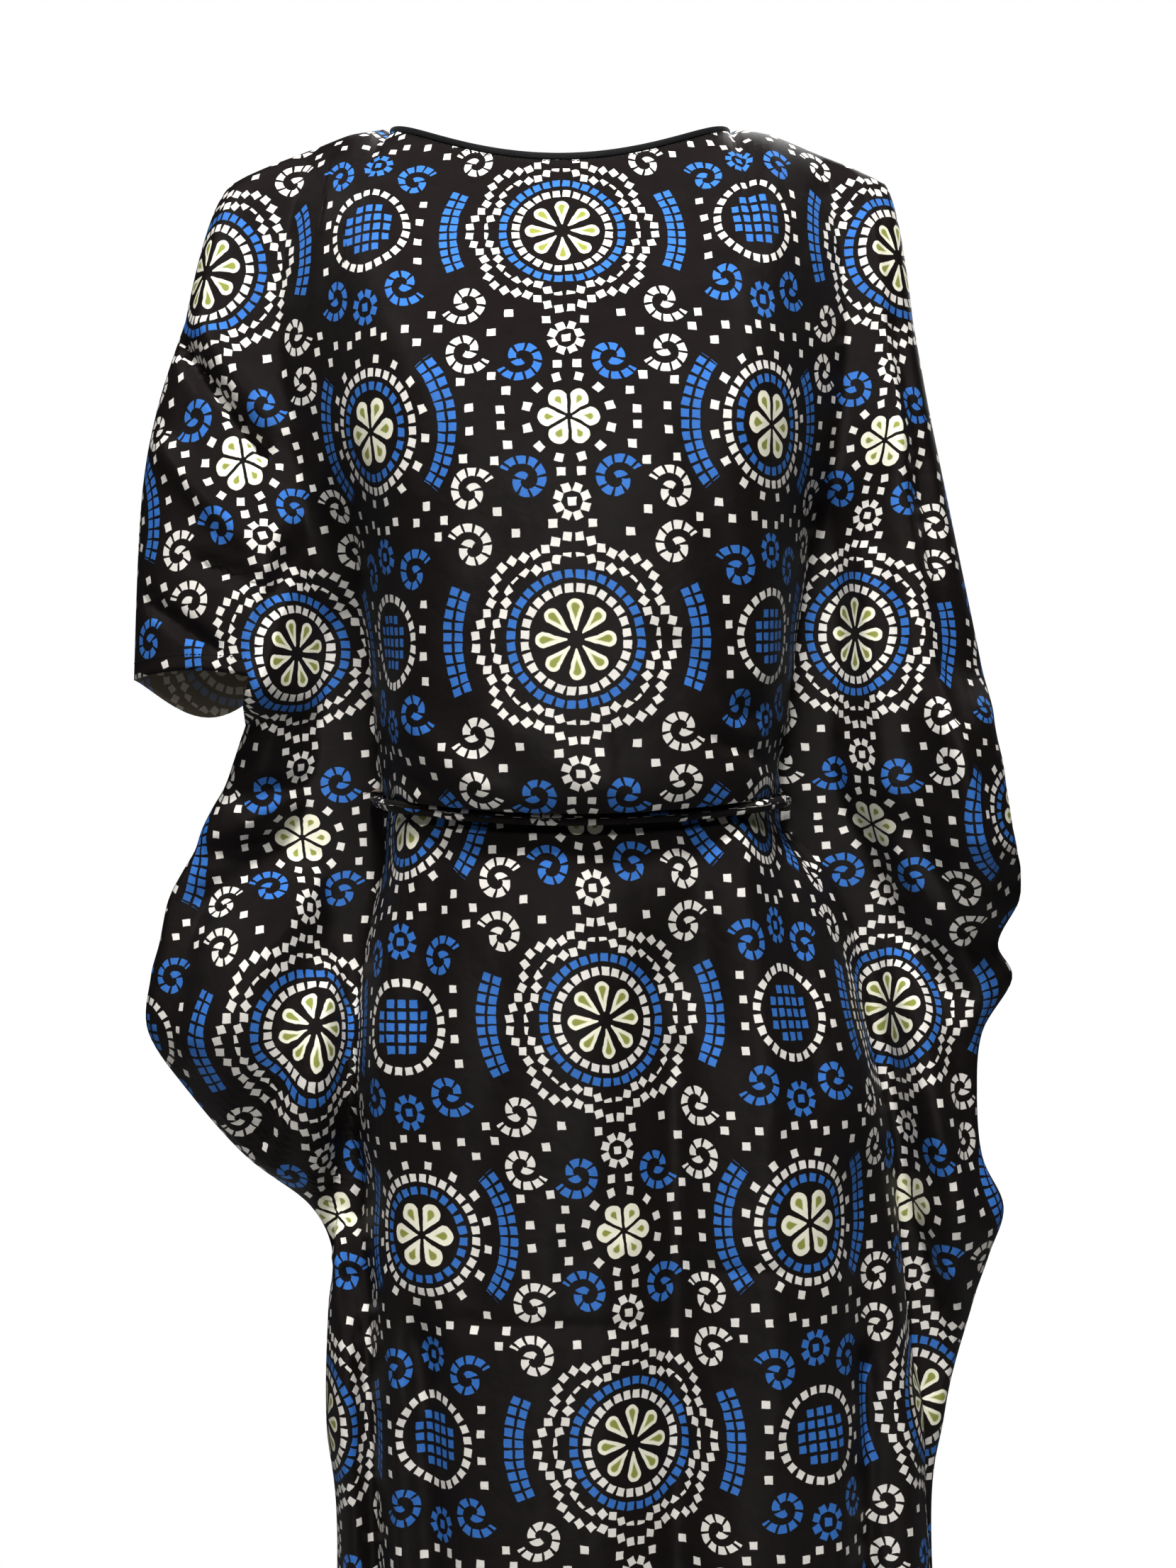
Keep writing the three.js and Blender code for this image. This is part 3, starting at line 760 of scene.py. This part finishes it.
def petal_flower(tree, x, y, count, start, end, width):
    """count petals like drops, narrow at start and round at end: the angle is folded to one petal, and the
    distance is that of a circle whose radius grows from 0.5 to width along the petal's axis."""
    angle = y.arctan2(x) * count / math.tau
    folded = (angle - angle.round()) * math.tau / count
    radius = (x * x + y * y).sqrt()
    along = radius * folded.cos()
    across = abs(radius * folded.sin())
    top = end - width
    share = ((along - start) / (top - start)).math("MULTIPLY", 1.0, clamp=True)
    size = 0.5 + share * (width - 0.5)
    off = along - (start + share * (top - start))
    return [(across * across + off * off).sqrt() - size]


def print_groups():
    """The print's shapes as node groups with one output, the distance."""
    return {
        fill.__name__: group(name, inputs, ["Distance"], fill)
        for name, inputs, fill in (
            ("Square ring", ("X", "Y", "Radius", "Lobes", "Height", "Count"), square_ring),
            ("Square spiral", ("X", "Y", "Gap", "Pitch", "Turns"), square_spiral),
            ("Petal flower", ("X", "Y", "Count", "Start", "End", "Width"), petal_flower),
        )
    }


# Where single white squares lie in a quarter of the repeat.
SINGLES = (
    (5, 84), (29, 54), (38, 65), (31, 98), (34, 108), (81, 7), (80, 20), (70, 54), (98, 64),
    (84, 62), (66, 62), (50, 106), (106, 60), (54, 92), (10, 58), (38, 90), (77, 70),
)
# The scrolls' middles in that quarter, left and right, in the low row and in the high one, and what parts
# them: the height between the rows, and the place between the two of each row.
SCROLLS = (((52.0, 47.0), (87.0, 36.0)), ((23.0, 80.0), (51.0, 75.0)))
SCROLL_PARTING = {"rows": 61.0, "low": 69.5, "high": 37.0}
# The side arcs: the rosette's, then the daisy's.
ARCS = {"radius": (64.0, 50.0), "half_gap": 2.9, "count": (72.0, 56.0), "slope": (0.466, 0.83)}


def side_arcs(tree, x, y, ring):
    """Two rows of squares on arcs beside the rosette and the daisy, each kept to a sector about the level
    line."""
    upper = y.above(QUARTER)
    local_x = abs(x - upper * HALF_REPEAT)
    local_y = abs(y - upper * HALF_REPEAT)
    middle = upper.pick(*ARCS["radius"])
    reach = (local_x * local_x + local_y * local_y).sqrt()
    radius = middle - ARCS["half_gap"] + reach.above(middle) * 2 * ARCS["half_gap"]
    [squares] = use(tree, ring, local_x, local_y, radius, 1.0, 0.0, upper.pick(*ARCS["count"]))
    outside = (local_y / local_x).above(upper.pick(*ARCS["slope"]))
    return squares + outside * FAR


def check_disc(x, y):
    """Squares at whole multiples of the pitch, two steps out each way without the corners."""
    column, row = (x / DISC_PITCH).round(), (y / DISC_PITCH).round()
    outside = column.high(row).above(2.5).high((column + row).above(3.5))
    return abs(x - column * DISC_PITCH).high(abs(y - row * DISC_PITCH)) + outside * FAR


def mosaic(tree, u, v, groups):
    """The print's masks at a place on the flat cloth. The repeat is 224 each way and mirrors in its middle,
    so everything is placed in one quarter: a rosette at 0, 0, a daisy at 112, 112, a small daisy at 0, 112
    and a disc of blue squares at 112, 0, each with its rings; and side arcs, scrolls, beads and single
    squares."""
    ring = groups["square_ring"]
    place = join(tree, u * WOBBLE["scale"], v * WOBBLE["scale"])
    wobble_x, wobble_y = split(tree, noise(tree, place, 1.0, 2.0, 0.6, colour=True))
    u = u + (wobble_x - 0.5) * WOBBLE["size"]
    v = v + (wobble_y - 0.5) * WOBBLE["size"]
    x, y = u.fold(HALF_REPEAT), v.fold(HALF_REPEAT)
    right, high = x.above(QUARTER), y.above(QUARTER)
    daisy = right * high
    disc, small = right - daisy, high - daisy
    rosette = 1.0 - right - small
    near_x, near_y = x.fold(QUARTER), y.fold(QUARTER)
    masks = {"rosette": rosette, "disc": disc, "small": small, "daisy": daisy}
    motif = {
        column: sum(mask * MOTIFS[name][i] for name, mask in masks.items())
        for i, column in enumerate(MOTIF_COLUMNS)
    }

    reach = (near_x * near_x + near_y * near_y).sqrt()
    order = ((reach - motif["ring"]) / RING_STEP).round().high(0.0).low(motif["more"])
    outer = order.above(1.5)
    scallop, sparse = rosette * outer, daisy * outer + small
    radius = motif["ring"] + order * RING_STEP + scallop * (order - 0.5)
    count = sparse.pick((radius / SQUARE_SHARE).round() * 4.0, daisy * 4.0 + 12.0)
    height = scallop * SCALLOP["height"]
    [rings] = use(tree, ring, near_x, near_y, radius, SCALLOP["lobes"], height, count)
    blue_ring = rosette * (1.0 - abs(order - 1.0)).high(0.0) + daisy * order.below(0.5)

    level = y.above(SCROLL_PARTING["rows"])
    side = x.above(level.pick(SCROLL_PARTING["low"], SCROLL_PARTING["high"]))
    scroll_x, scroll_y = (
        level.pick(*(side.pick(left[axis], right_one[axis]) for left, right_one in SCROLLS))
        for axis in range(2)
    )
    flip = side * 2.0 - 1.0
    [scrolls] = use(tree, groups["square_spiral"], (x - scroll_x) * flip, y - scroll_y, *SPIRAL.values())
    blue_scroll = abs(side - level)

    bead_x = right * HALF_REPEAT
    bead_y = right.pick(BEADS["right_y"], BEADS["left_y"])
    [beads] = use(tree, ring, x - bead_x, y - bead_y, BEADS["radius"], 1.0, 0.0, BEADS["count"])
    beads = beads.low(abs(x - bead_x).high(abs(y - bead_y)))

    white = rings + blue_ring * FAR
    blue = rings + (1.0 - blue_ring) * FAR
    white = white.low(scrolls + blue_scroll * FAR)
    blue = blue.low(scrolls + (1.0 - blue_scroll) * FAR)
    white = white.low(beads + right * FAR)
    blue = blue.low(beads + (1.0 - right) * FAR)
    blue = blue.low(side_arcs(tree, x, y, ring))
    blue = blue.low(check_disc(near_x, near_y) + (1.0 - disc) * FAR)
    for at_x, at_y in SINGLES:
        white = white.low(abs(x - at_x).high(abs(y - at_y)))

    petals = (motif[column] for column in ("petals", "start", "end", "width"))
    [flower] = use(tree, groups["petal_flower"], near_x, near_y, *petals)
    flower = flower + disc * FAR
    heart = flower + (1.0 - rosette) * 1.2 + 2.1
    return white, blue, flower, heart


# ---- Materials -----------------------------------------------------------------------------------

THREAD_PITCH = (0.00055, 0.0006)  # the weave's period in metres, across and down
REVERSE_AND_PAINTED_LIGHT_SHARE = 0.34  # how much of the reverse colour covers the print there: partly a paler unprinted side, partly painted reflected light that lifts the shaded insides


def rgba(colour, share=1.0):
    """A colour, dimmed or brightened by share, as a shader takes it."""
    return tuple(part * share for part in colour) + (1,)


def new_material(name, roughness, sheen):
    """A cloth material's tree and shader, with the constant values set on the shader."""
    material = bpy.data.materials.new(name)
    material.use_nodes = True
    shader = material.node_tree.nodes["Principled BSDF"]
    constants = {
        "Roughness": roughness, "Specular IOR Level": 0.17,
        "Sheen Weight": sheen, "Sheen Roughness": 0.45, "Sheen Tint": (0.82, 0.86, 0.95, 1),
    }
    for socket, value in constants.items():
        shader.inputs[socket].default_value = value
    return material, material.node_tree, shader


def flat_place(tree, repeat):
    """Millimetres of the print's own scale across and up the flat cloth."""
    place = add_node(tree, "UVMap", uv_map="FlatCut").outputs[0]
    u, v = split(tree, place)
    scale = 2 * HALF_REPEAT / repeat / MM
    return u * scale, v * scale + PRINT_DROP, place


def weave(tree, place, depth):
    """Bump of crossing threads under soft unevenness: sine across times sine down, and two noises."""
    u, v = split(tree, place)
    across, down = (math.tau / pitch for pitch in THREAD_PITCH)
    threads = (u * across).sin() * (v * down).sin()
    wrinkle = noise(tree, place, 55.0, 3.0, 0.55)
    soft = noise(tree, place, 14.0, 2.0, 0.5)
    height = threads * 0.05 + wrinkle * 0.75 + soft * 1.6
    return add_node(tree, "Bump", (("Distance", depth), ("Strength", 1.0), ("Height", height))).outputs[0]


def cover(distance, half, soft=0.22):
    """1 inside a shape and 0 outside, over a soft edge."""
    return (distance - half).ramp(-soft, soft, 1.0, 0.0)


def printed_cloth(name, colours, groups, repeat, face=True):
    """The print on its ground; the reverse shows it paler and dimmer, as where the ink comes through, and
    brighter and beige with painted reflected light that lifts its shaded insides.
    """
    material, tree, shader = new_material(name, 0.43 if face else 0.75, 0.01)
    u, v, place = flat_place(tree, repeat)
    white, blue, flower, heart = use(tree, groups["mosaic"], u, v)
    # A slow noise varies the squares' size and mottles the ground from 0.6 to 1.4 times its colour; the
    # ground's mottle is partly random tone and partly painted sheen and small-wrinkle shade
    uneven_and_sheen = noise(tree, join(tree, u * 0.02, v * 0.02), 5.0, 3.0, 0.6)
    grain = noise(tree, join(tree, u, v), 1.6, 2.0, 0.6)
    half = uneven_and_sheen * 0.6 + 1.85
    ground = blend(tree, uneven_and_sheen, rgba(colours.ground, 0.6), rgba(colours.ground, 1.4))
    cream = blend(tree, grain, rgba(colours.white, 0.86), rgba(colours.white))
    blues = blend(tree, grain, rgba(colours.blue, 0.75), rgba(colours.blue, 1.2))
    smudge = blend(tree, grain.ramp(0.35, 0.75), rgba(colours.heart), rgba(colours.heart, 0.8))
    colour = blend(tree, cover(white, half), ground, cream)
    colour = blend(tree, cover(blue, half), colour, blues)
    colour = blend(tree, cover(flower, 0.0), colour, rgba(colours.petal))
    colour = blend(tree, cover(heart, 0.0, 0.5) * 0.9, colour, smudge)
    # the reverse's blend toward a bright beige is partly painted reflected light, lifting the shaded insides
    # of the cuffs
    if not face:
        colour = blend(tree, REVERSE_AND_PAINTED_LIGHT_SHARE, colour, rgba(colours.reverse))
    feed(tree, colour, shader.inputs["Base Color"])
    feed(tree, weave(tree, place, 0.0016), shader.inputs["Normal"])
    return material


def plain_cloth(name, colour, roughness, ridges):
    """A dyed strip or thread with fine cross ridges, on object coordinates."""
    material, tree, shader = new_material(name, roughness, 0.08)
    place = add_node(tree, "TexCoord").outputs["Object"]
    fine = noise(tree, place, ridges, 3.0, 0.6)
    worn = noise(tree, place, 60.0, 2.0, 0.5)
    feed(tree, blend(tree, worn, rgba(colour, 0.7), rgba(colour, 1.5)), shader.inputs["Base Color"])
    bump = add_node(tree, "Bump", (("Distance", 0.0004), ("Height", fine)))
    feed(tree, bump.outputs[0], shader.inputs["Normal"])
    return material


def floor_material(colour):
    """A pale matt floor, very slightly mottled."""
    material, tree, shader = new_material("Pale floor", 0.8, 0.0)
    place = add_node(tree, "TexCoord").outputs["Object"]
    mottle = noise(tree, place, 3.0, 2.0, 0.5)
    feed(tree, blend(tree, mottle, rgba(colour, 0.97), rgba(colour)), shader.inputs["Base Color"])
    return material


# ---- Pieces --------------------------------------------------------------------------------------

def neck_path(steps):
    """The neck's edge as points and outward directions: 95 cos, depth sin, dipping at front and back."""
    angle = math.tau * np.arange(steps) / steps
    x = NECK["half_width"] * np.cos(angle)
    side = np.where(np.sin(angle) < 0, -1, 1)
    front = np.stack(top_line(-1, x), axis=1)
    back = np.stack(top_line(1, x), axis=1)
    depth, z = np.where((side < 0)[:, None], front, back).T
    across, ahead = np.cos(angle) / NECK["half_width"], np.sin(angle) / NECK["front_depth"]
    out = np.stack([across, ahead, 0 * angle], axis=1)
    return np.stack([x, side * depth, z], axis=1), out / np.linalg.norm(out, axis=1, keepdims=True)


BINDING = {
    "steps": 240, "corners": 16, "half": (1.0, 1.9), "roundness": 0.6,
    "lift": 1.3, "side_drop": 2.2, "side_power": 12,
}


def binding_piece(material):
    """An upright folded strip on the neck's edge: a rounded box section, 2 by 4, puckered a little by two
    sines around the neck. It stands over the edge by lift, less side_drop cos(turn)^12 at the sides."""
    path, out = neck_path(BINDING["steps"])
    up = np.tile([0.0, 0.0, 1.0], (len(path), 1))
    angle = -math.tau * np.arange(BINDING["corners"]) / BINDING["corners"]
    box = np.stack([np.cos(angle), np.sin(angle)], axis=1)
    box = np.sign(box) * np.abs(box) ** BINDING["roundness"] * BINDING["half"]
    turn = math.tau * np.arange(len(path)) / len(path)
    pucker = 1 + 0.05 * np.sin(37 * turn) + 0.04 * np.sin(61 * turn + 1)
    lift = BINDING["lift"] - BINDING["side_drop"] * np.abs(np.cos(turn)) ** BINDING["side_power"]
    section = box[None] * np.stack([pucker, 1 + 0 * turn], axis=1)[:, None]
    section = section + np.stack([0 * lift, lift], axis=1)[:, None]
    piece = tube("neck_edge_binding", path, out, up, section, True, [material])
    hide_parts("neck_binding")
    return piece


TIE = {
    "radius": 3.1, "clear": 3.5, "section": 9, "z": -389, "right": -104, "left": 122,
    "steps": 180, "corners": 20, "flatness": 0.93, "tallness": 1.12, "end_steps": 60,
    "print_x": -113, "print_y": -126,
}


def tie_piece(name, side, materials):
    """One stretch of the waist tie: a flattened roll along the drawn-in cloth. Its section turns slowly by
    twist and has a soft fold, 0.09 cos 2a, and narrow ones, 0.12 cos(5a)^8; small rounded ends close it."""
    steps, corners = TIE["steps"], TIE["corners"]
    along = np.arange(steps + 1) / steps
    section = section_at(np.full(1, float(TIE["section"])))
    outline = {"right": section["fold"], "left": section["left"]}
    middle, half = body_span(section, outline)
    x = lerp(TIE["right"], TIE["left"], along)[None]
    rise = WAIST_RISE * (np.abs(x - middle) / half) ** 2
    depth = cloth_depth(side, section, outline, x, TIE["z"] + 0 * x)
    path = np.stack([x[0], side * depth[0], TIE["z"] + rise[0]], axis=1)
    forward = np.gradient(path, axis=0)
    forward[:, 2] = 0
    forward /= np.linalg.norm(forward, axis=1, keepdims=True)
    up = np.tile([0.0, 0.0, 1.0], (steps + 1, 1))
    out = -side * np.cross(forward, up)
    path = path + out * (TIE["radius"] + TIE["clear"])
    angle = side * math.tau * np.arange(corners) / corners
    twist = (5.5 * along + 0.6 * np.sin(9 * along))[:, None]
    soft, narrow = np.cos(2 * (angle - twist)), np.cos(5 * (angle - 1.7 * twist)) ** 8
    to_end = np.minimum(along, 1 - along) * TIE["end_steps"]
    end = np.sqrt(np.clip(1 - (1 - to_end).clip(0) ** 2, 0.01, 1))
    radius = TIE["radius"] * TIE["flatness"] * (1 + 0.09 * soft - 0.12 * narrow) * end[:, None]
    section = np.stack([radius * np.cos(angle), radius * np.sin(angle) * TIE["tallness"]], axis=-1)
    piece = tube(name, path, out, up, section, False, materials)
    run = np.linalg.norm(np.diff(path, axis=0), axis=1)
    length = np.concatenate([[0], np.cumsum(run)])[:, None] + 0 * radius
    around = 0.9 * TIE["radius"] * np.abs(angle) + 2 * twist
    flat = np.stack([length + TIE["print_x"], around + TIE["print_y"]], axis=-1).reshape(-1, 2)
    add_map(piece, "FlatCut", flat * MM)
    add_map(piece, "OFBake", (flat - flat.min(axis=0)) / np.ptp(flat[:, 0]))
    return piece


STITCH = {"length": 1.7, "width": 0.42, "height": 0.3, "sunk": 0.12, "narrowing": 0.62}


def point_at(run, path, at):
    """Points at lengths at along a path whose own points lie at lengths run."""
    return np.stack([np.interp(at, run, path[:, axis]) for axis in range(3)], axis=1)


def stitch_row(name, path, normal, material, pitch):
    """Short threads every pitch along a path of points, as small boxes that narrow outwards, their ends
    sunk in the cloth."""
    step = np.linalg.norm(np.diff(path, axis=0), axis=1)
    run = np.concatenate([[0], np.cumsum(step)])
    at = np.arange(pitch / 2, run[-1], pitch)
    centre, lift = point_at(run, path, at), point_at(run, normal, at)
    lift /= np.linalg.norm(lift, axis=1, keepdims=True)
    along = point_at(run, path, at + 0.5) - point_at(run, path, at - 0.5)
    along /= np.maximum(np.linalg.norm(along, axis=1, keepdims=True), 1e-9)
    beside = np.cross(lift, along)
    corners = []
    for share, rise in ((1.0, -STITCH["sunk"]), (STITCH["narrowing"], STITCH["height"])):
        for sx, sy in ((-1, -1), (1, -1), (1, 1), (-1, 1)):
            place = centre + along * (sx * share * STITCH["length"] / 2)
            corners.append(place + beside * (sy * share * STITCH["width"] / 2) + lift * rise)
    vertices = np.stack(corners, axis=1).reshape(-1, 3)
    box = np.array([(3, 2, 1, 0), (4, 5, 6, 7), (0, 1, 5, 4), (1, 2, 6, 5), (2, 3, 7, 6), (3, 0, 4, 7)])
    faces = (np.arange(len(at))[:, None, None] * 8 + box[None]).reshape(-1, 4)
    piece = new_piece(name, vertices * MM, faces.tolist(), [material])
    return piece


# ---- The add-on ----------------------------------------------------------------------------------

GRIDS = {}  # each side's grid, as the panels leave it for the stitching


def colour_setting(name, description, default):
    """A colour in the panel."""
    return FloatVectorProperty(
        name=name, description=description, default=default, size=3, subtype="COLOR", min=0, max=1
    )


class BaatiSizes(PropertyGroup):
    thickness: FloatProperty(
        name="Cloth thickness", description="Thickness of the cloth walls",
        default=0.0007, min=0.0003, max=0.002, unit="LENGTH",
    )
    repeat: FloatProperty(
        name="Print repeat", description="Size of one repeat of the print, in millimetres",
        default=224, min=60, max=600,
    )
    stitch_pitch: FloatProperty(
        name="Stitch pitch", description="Distance from one stitch to the next, in millimetres",
        default=2.6, min=1.5, max=6,
    )
    floor_below: FloatProperty(
        name="Floor below hem", description="How far the floor lies below the hem",
        default=0.03, min=0, max=1, unit="LENGTH",
    )
    relax_rounds: IntProperty(
        name="Flattening rounds", description="Rounds of laying the cloth flat for the print",
        default=1500, min=100, max=5000,
    )


class BaatiColours(PropertyGroup):
    ground: colour_setting("Ground", "The cloth's dark ground", (0.0122, 0.0085, 0.0077))
    white: colour_setting("White squares", "The print's off-white squares", (0.84, 0.81, 0.76))
    blue: colour_setting("Blue squares", "The print's blue squares", (0.062, 0.215, 0.56))
    petal: colour_setting("Petals", "The print's cream petals", (0.86, 0.84, 0.70))
    heart: colour_setting("Petal hearts", "The olive hearts of the petals", (0.30, 0.33, 0.03))
    # the reverse colour is partly the paler unprinted side and partly painted reflected light, a bright
    # beige for the shaded insides
    reverse: colour_setting("Reverse", "The unprinted side of the cloth", (0.90, 0.76, 0.58))
    binding: colour_setting("Binding", "The black strip at the neck and the threads", (0.012, 0.012, 0.013))
    floor: colour_setting("Floor", "The pale studio floor", (0.84, 0.84, 0.83))


def cloth_materials(context):
    """The face and reverse of the printed cloth, made once."""
    found = [bpy.data.materials.get(name) for name in ("Printed cloth", "Printed cloth reverse")]
    if all(found):
        return found
    colours, sizes = context.scene.baati_colours, context.scene.baati_sizes
    groups = print_groups()
    groups["mosaic"] = group(
        "Mosaic print", ("U", "V"), ("White", "Blue", "Flower", "Heart"),
        lambda tree, u, v: mosaic(tree, u, v, groups),
    )
    return [
        printed_cloth("Printed cloth", colours, groups, sizes.repeat),
        printed_cloth("Printed cloth reverse", colours, groups, sizes.repeat, face=False),
    ]


def add_panel(context, name, node, side):
    """One panel; its flat area, the sum of its cells' half cross products of diagonals, is worked out but
    not kept.
    """
    materials = cloth_materials(context)
    piece, points, flat, here = cloth_piece(name, side, context.scene.baati_sizes, materials)
    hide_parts(node)
    GRIDS[side] = points
    a, b = flat[1:, 1:] - flat[:-1, :-1], flat[1:, :-1] - flat[:-1, 1:]
    cross = np.abs(a[..., 0] * b[..., 1] - a[..., 1] * b[..., 0])
    area = np.nansum(cross[here[1:, :-1] & here[1:, 1:]]) / 2
    return piece


class BAATI_OT_front_panel(Operator):
    """Adds the front of the dress with its half of the sleeves and wings"""

    bl_idname = "baati.front_panel"
    bl_label = "Front panel"

    def execute(self, context):
        add_panel(context, "front_cloth", "front_panel", -1)
        return {"FINISHED"}


class BAATI_OT_back_panel(Operator):
    """Adds the back of the dress with its half of the sleeves and wings"""

    bl_idname = "baati.back_panel"
    bl_label = "Back panel"

    def execute(self, context):
        add_panel(context, "back_cloth", "back_panel", 1)
        return {"FINISHED"}


class BAATI_OT_neck_binding(Operator):
    """Adds the black strip around the neck"""

    bl_idname = "baati.neck_binding"
    bl_label = "Neck binding"

    def execute(self, context):
        colours = context.scene.baati_colours
        binding_piece(plain_cloth("Black binding", tuple(colours.binding), 0.7, 900.0))
        return {"FINISHED"}


class BAATI_OT_waist_tie(Operator):
    """Adds the rolled waist tie, one stretch in front and one behind"""

    bl_idname = "baati.waist_tie"
    bl_label = "Waist tie"

    def execute(self, context):
        materials = cloth_materials(context)[:1]
        for end, side in (("front", -1), ("back", 1)):
            piece = tie_piece("waist_roll_" + end, side, materials)
            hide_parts("waist_tie_" + end)
        return {"FINISHED"}


class BAATI_OT_stitching(Operator):
    """Adds the rows of thread at the neck, the right cuff and the hem"""

    bl_idname = "baati.stitching"
    bl_label = "Stitching"

    def execute(self, context):
        if set(GRIDS) != {-1, 1}:
            raise RuntimeError("add the front and back panels before their stitching")
        colours, sizes = context.scene.baati_colours, context.scene.baati_sizes
        thread = plain_cloth("Black thread", tuple(colours.binding), 0.6, 2500.0)
        _, place = row_places()
        cuff_row = int(np.argmax(place >= CUFF_SECTION)) - 3
        sleeve = GRID["sleeve"]
        for side, label in ((-1, "front"), (1, "back")):
            points = GRIDS[side]
            normal = np.nan_to_num(grid_normals(points, side))
            neck = np.abs(points[0, :, 0]) < NECK["half_width"] - 2
            lines = {
                "neck": (lerp(points[0], points[1], 0.45)[neck], normal[1][neck]),
                "right_cuff": (points[cuff_row, 1:sleeve], normal[cuff_row, 1:sleeve]),
                "hem": (points[-2, sleeve + 1 : -1], normal[-2, sleeve + 1 : -1]),
            }
            for line, (path, lift) in lines.items():
                stitch_row(f"stitches_{line}_{label}", path, lift, thread, sizes.stitch_pitch)
        return {"FINISHED"}


FLOOR = {"radius": 1.6, "corners": 64}
# The level camera's place in metres, facing the front, and the height that it sees at the dress.
CAMERA = {"place": (0.0158, -1.4, -0.3704), "height_seen": 0.8848, "sensor": 24}
SOFT_LIGHT = {"Color": (0.96, 0.98, 1, 1), "Strength": 0.04}
GAMMA = 0.8
# Soft lights: where each stands, what it looks at, its size in metres and its power in watts.
LIGHTS = (
    ("Top light", (0.0, -0.95, 1.45), (0, 0, -0.4), 0.4, 66),
    ("Key light", (0.0, -1.9, 0.9), (0, 0, -0.45), 0.35, 24),
    ("Fill light", (-1.3, -2.0, 0.1), (0, 0, -0.5), 1.0, 6),
    ("Back light", (0.5, 2.0, 0.8), (0, 0, -0.4), 1.6, 40),
)


class BAATI_OT_stage(Operator):
    """Adds the pale floor, the soft lights, the white surroundings and the camera"""

    bl_idname = "baati.stage"
    bl_label = "Stage"

    def execute(self, context):
        scene = context.scene
        corners = FLOOR["corners"]
        turn = np.arange(corners) * math.tau / corners
        height = np.full(corners, HEM * MM - scene.baati_sizes.floor_below)
        rim = np.stack([FLOOR["radius"] * np.cos(turn), FLOOR["radius"] * np.sin(turn), height], axis=1)
        mesh = bpy.data.meshes.new("floor")
        mesh.from_pydata(rim.tolist(), [], [list(range(corners))])
        mesh.materials.append(floor_material(tuple(scene.baati_colours.floor)))
        floor = bpy.data.objects.new("floor", mesh)
        scene.collection.objects.link(floor)
        add_lights(scene)
        add_surroundings(scene)
        add_camera(scene)
        return {"FINISHED"}


def add_lights(scene):
    """The soft lights, as discs that face their targets."""
    for name, place, target, size, power in LIGHTS:
        light = bpy.data.lights.new(name, "AREA")
        light.shape = "DISK"
        light.size = size
        light.energy = power
        lamp = bpy.data.objects.new(name, light)
        lamp.location = place
        lamp.rotation_euler = (Vector(target) - Vector(place)).to_track_quat("-Z", "Y").to_euler()
        scene.collection.objects.link(lamp)


def add_surroundings(scene):
    """White to the camera and softer as light."""
    world = bpy.data.worlds.new("White studio")
    world.use_nodes = True
    tree = world.node_tree
    tree.nodes.clear()
    seen = add_node(tree, "Background", [("Color", (1, 1, 1, 1))])
    light = add_node(tree, "Background", SOFT_LIGHT.items())
    camera_ray = add_node(tree, "LightPath").outputs["Is Camera Ray"]
    mix = add_node(tree, "MixShader", ((0, camera_ray), (1, light.outputs[0]), (2, seen.outputs[0])))
    add_node(tree, "OutputWorld", [(0, mix.outputs[0])])
    scene.world = world
    scene.view_settings.view_transform = "Standard"
    scene.view_settings.gamma = GAMMA


def add_camera(scene):
    """A level camera 1.4 m in front, framing the dress from above the neck to the knees."""
    camera = bpy.data.cameras.new("Camera")
    camera.sensor_fit = "VERTICAL"
    camera.sensor_height = CAMERA["sensor"]
    camera.lens = CAMERA["sensor"] * -CAMERA["place"][1] / CAMERA["height_seen"]
    eye = bpy.data.objects.new("Camera", camera)
    eye.location = CAMERA["place"]
    eye.rotation_euler = (math.pi / 2, 0, 0)
    scene.collection.objects.link(eye)
    scene.camera = eye


class BAATI_PT_panel(Panel):
    """Lists the pieces and the sizes"""

    bl_label = "Baati dress"
    bl_idname = "BAATI_PT_panel"
    bl_space_type = "VIEW_3D"
    bl_region_type = "UI"
    bl_category = "Baati"

    def draw(self, context):
        for settings in (context.scene.baati_sizes, context.scene.baati_colours):
            for name in settings.bl_rna.properties.keys():
                if name not in ("rna_type", "name"):
                    self.layout.prop(settings, name)
        for operator in OPERATORS:
            self.layout.operator(operator.bl_idname)


OPERATORS = (
    BAATI_OT_front_panel,
    BAATI_OT_back_panel,
    BAATI_OT_neck_binding,
    BAATI_OT_waist_tie,
    BAATI_OT_stitching,
    BAATI_OT_stage,
)
CLASSES = (BaatiSizes, BaatiColours) + OPERATORS + (BAATI_PT_panel,)


def register():
    """Adds the classes and the scene's settings."""
    for item in CLASSES:
        bpy.utils.register_class(item)
    bpy.types.Scene.baati_sizes = PointerProperty(type=BaatiSizes)
    bpy.types.Scene.baati_colours = PointerProperty(type=BaatiColours)


def unregister():
    """Takes the settings and the classes away."""
    del bpy.types.Scene.baati_sizes
    del bpy.types.Scene.baati_colours
    for item in reversed(CLASSES):
        bpy.utils.unregister_class(item)


def main():
    """Adds every piece and the stage."""
    register()
    bpy.ops.baati.front_panel()
    bpy.ops.baati.back_panel()
    bpy.ops.baati.neck_binding()
    bpy.ops.baati.waist_tie()
    bpy.ops.baati.stitching()
    bpy.ops.baati.stage()


if __name__ == "__main__":
    main()
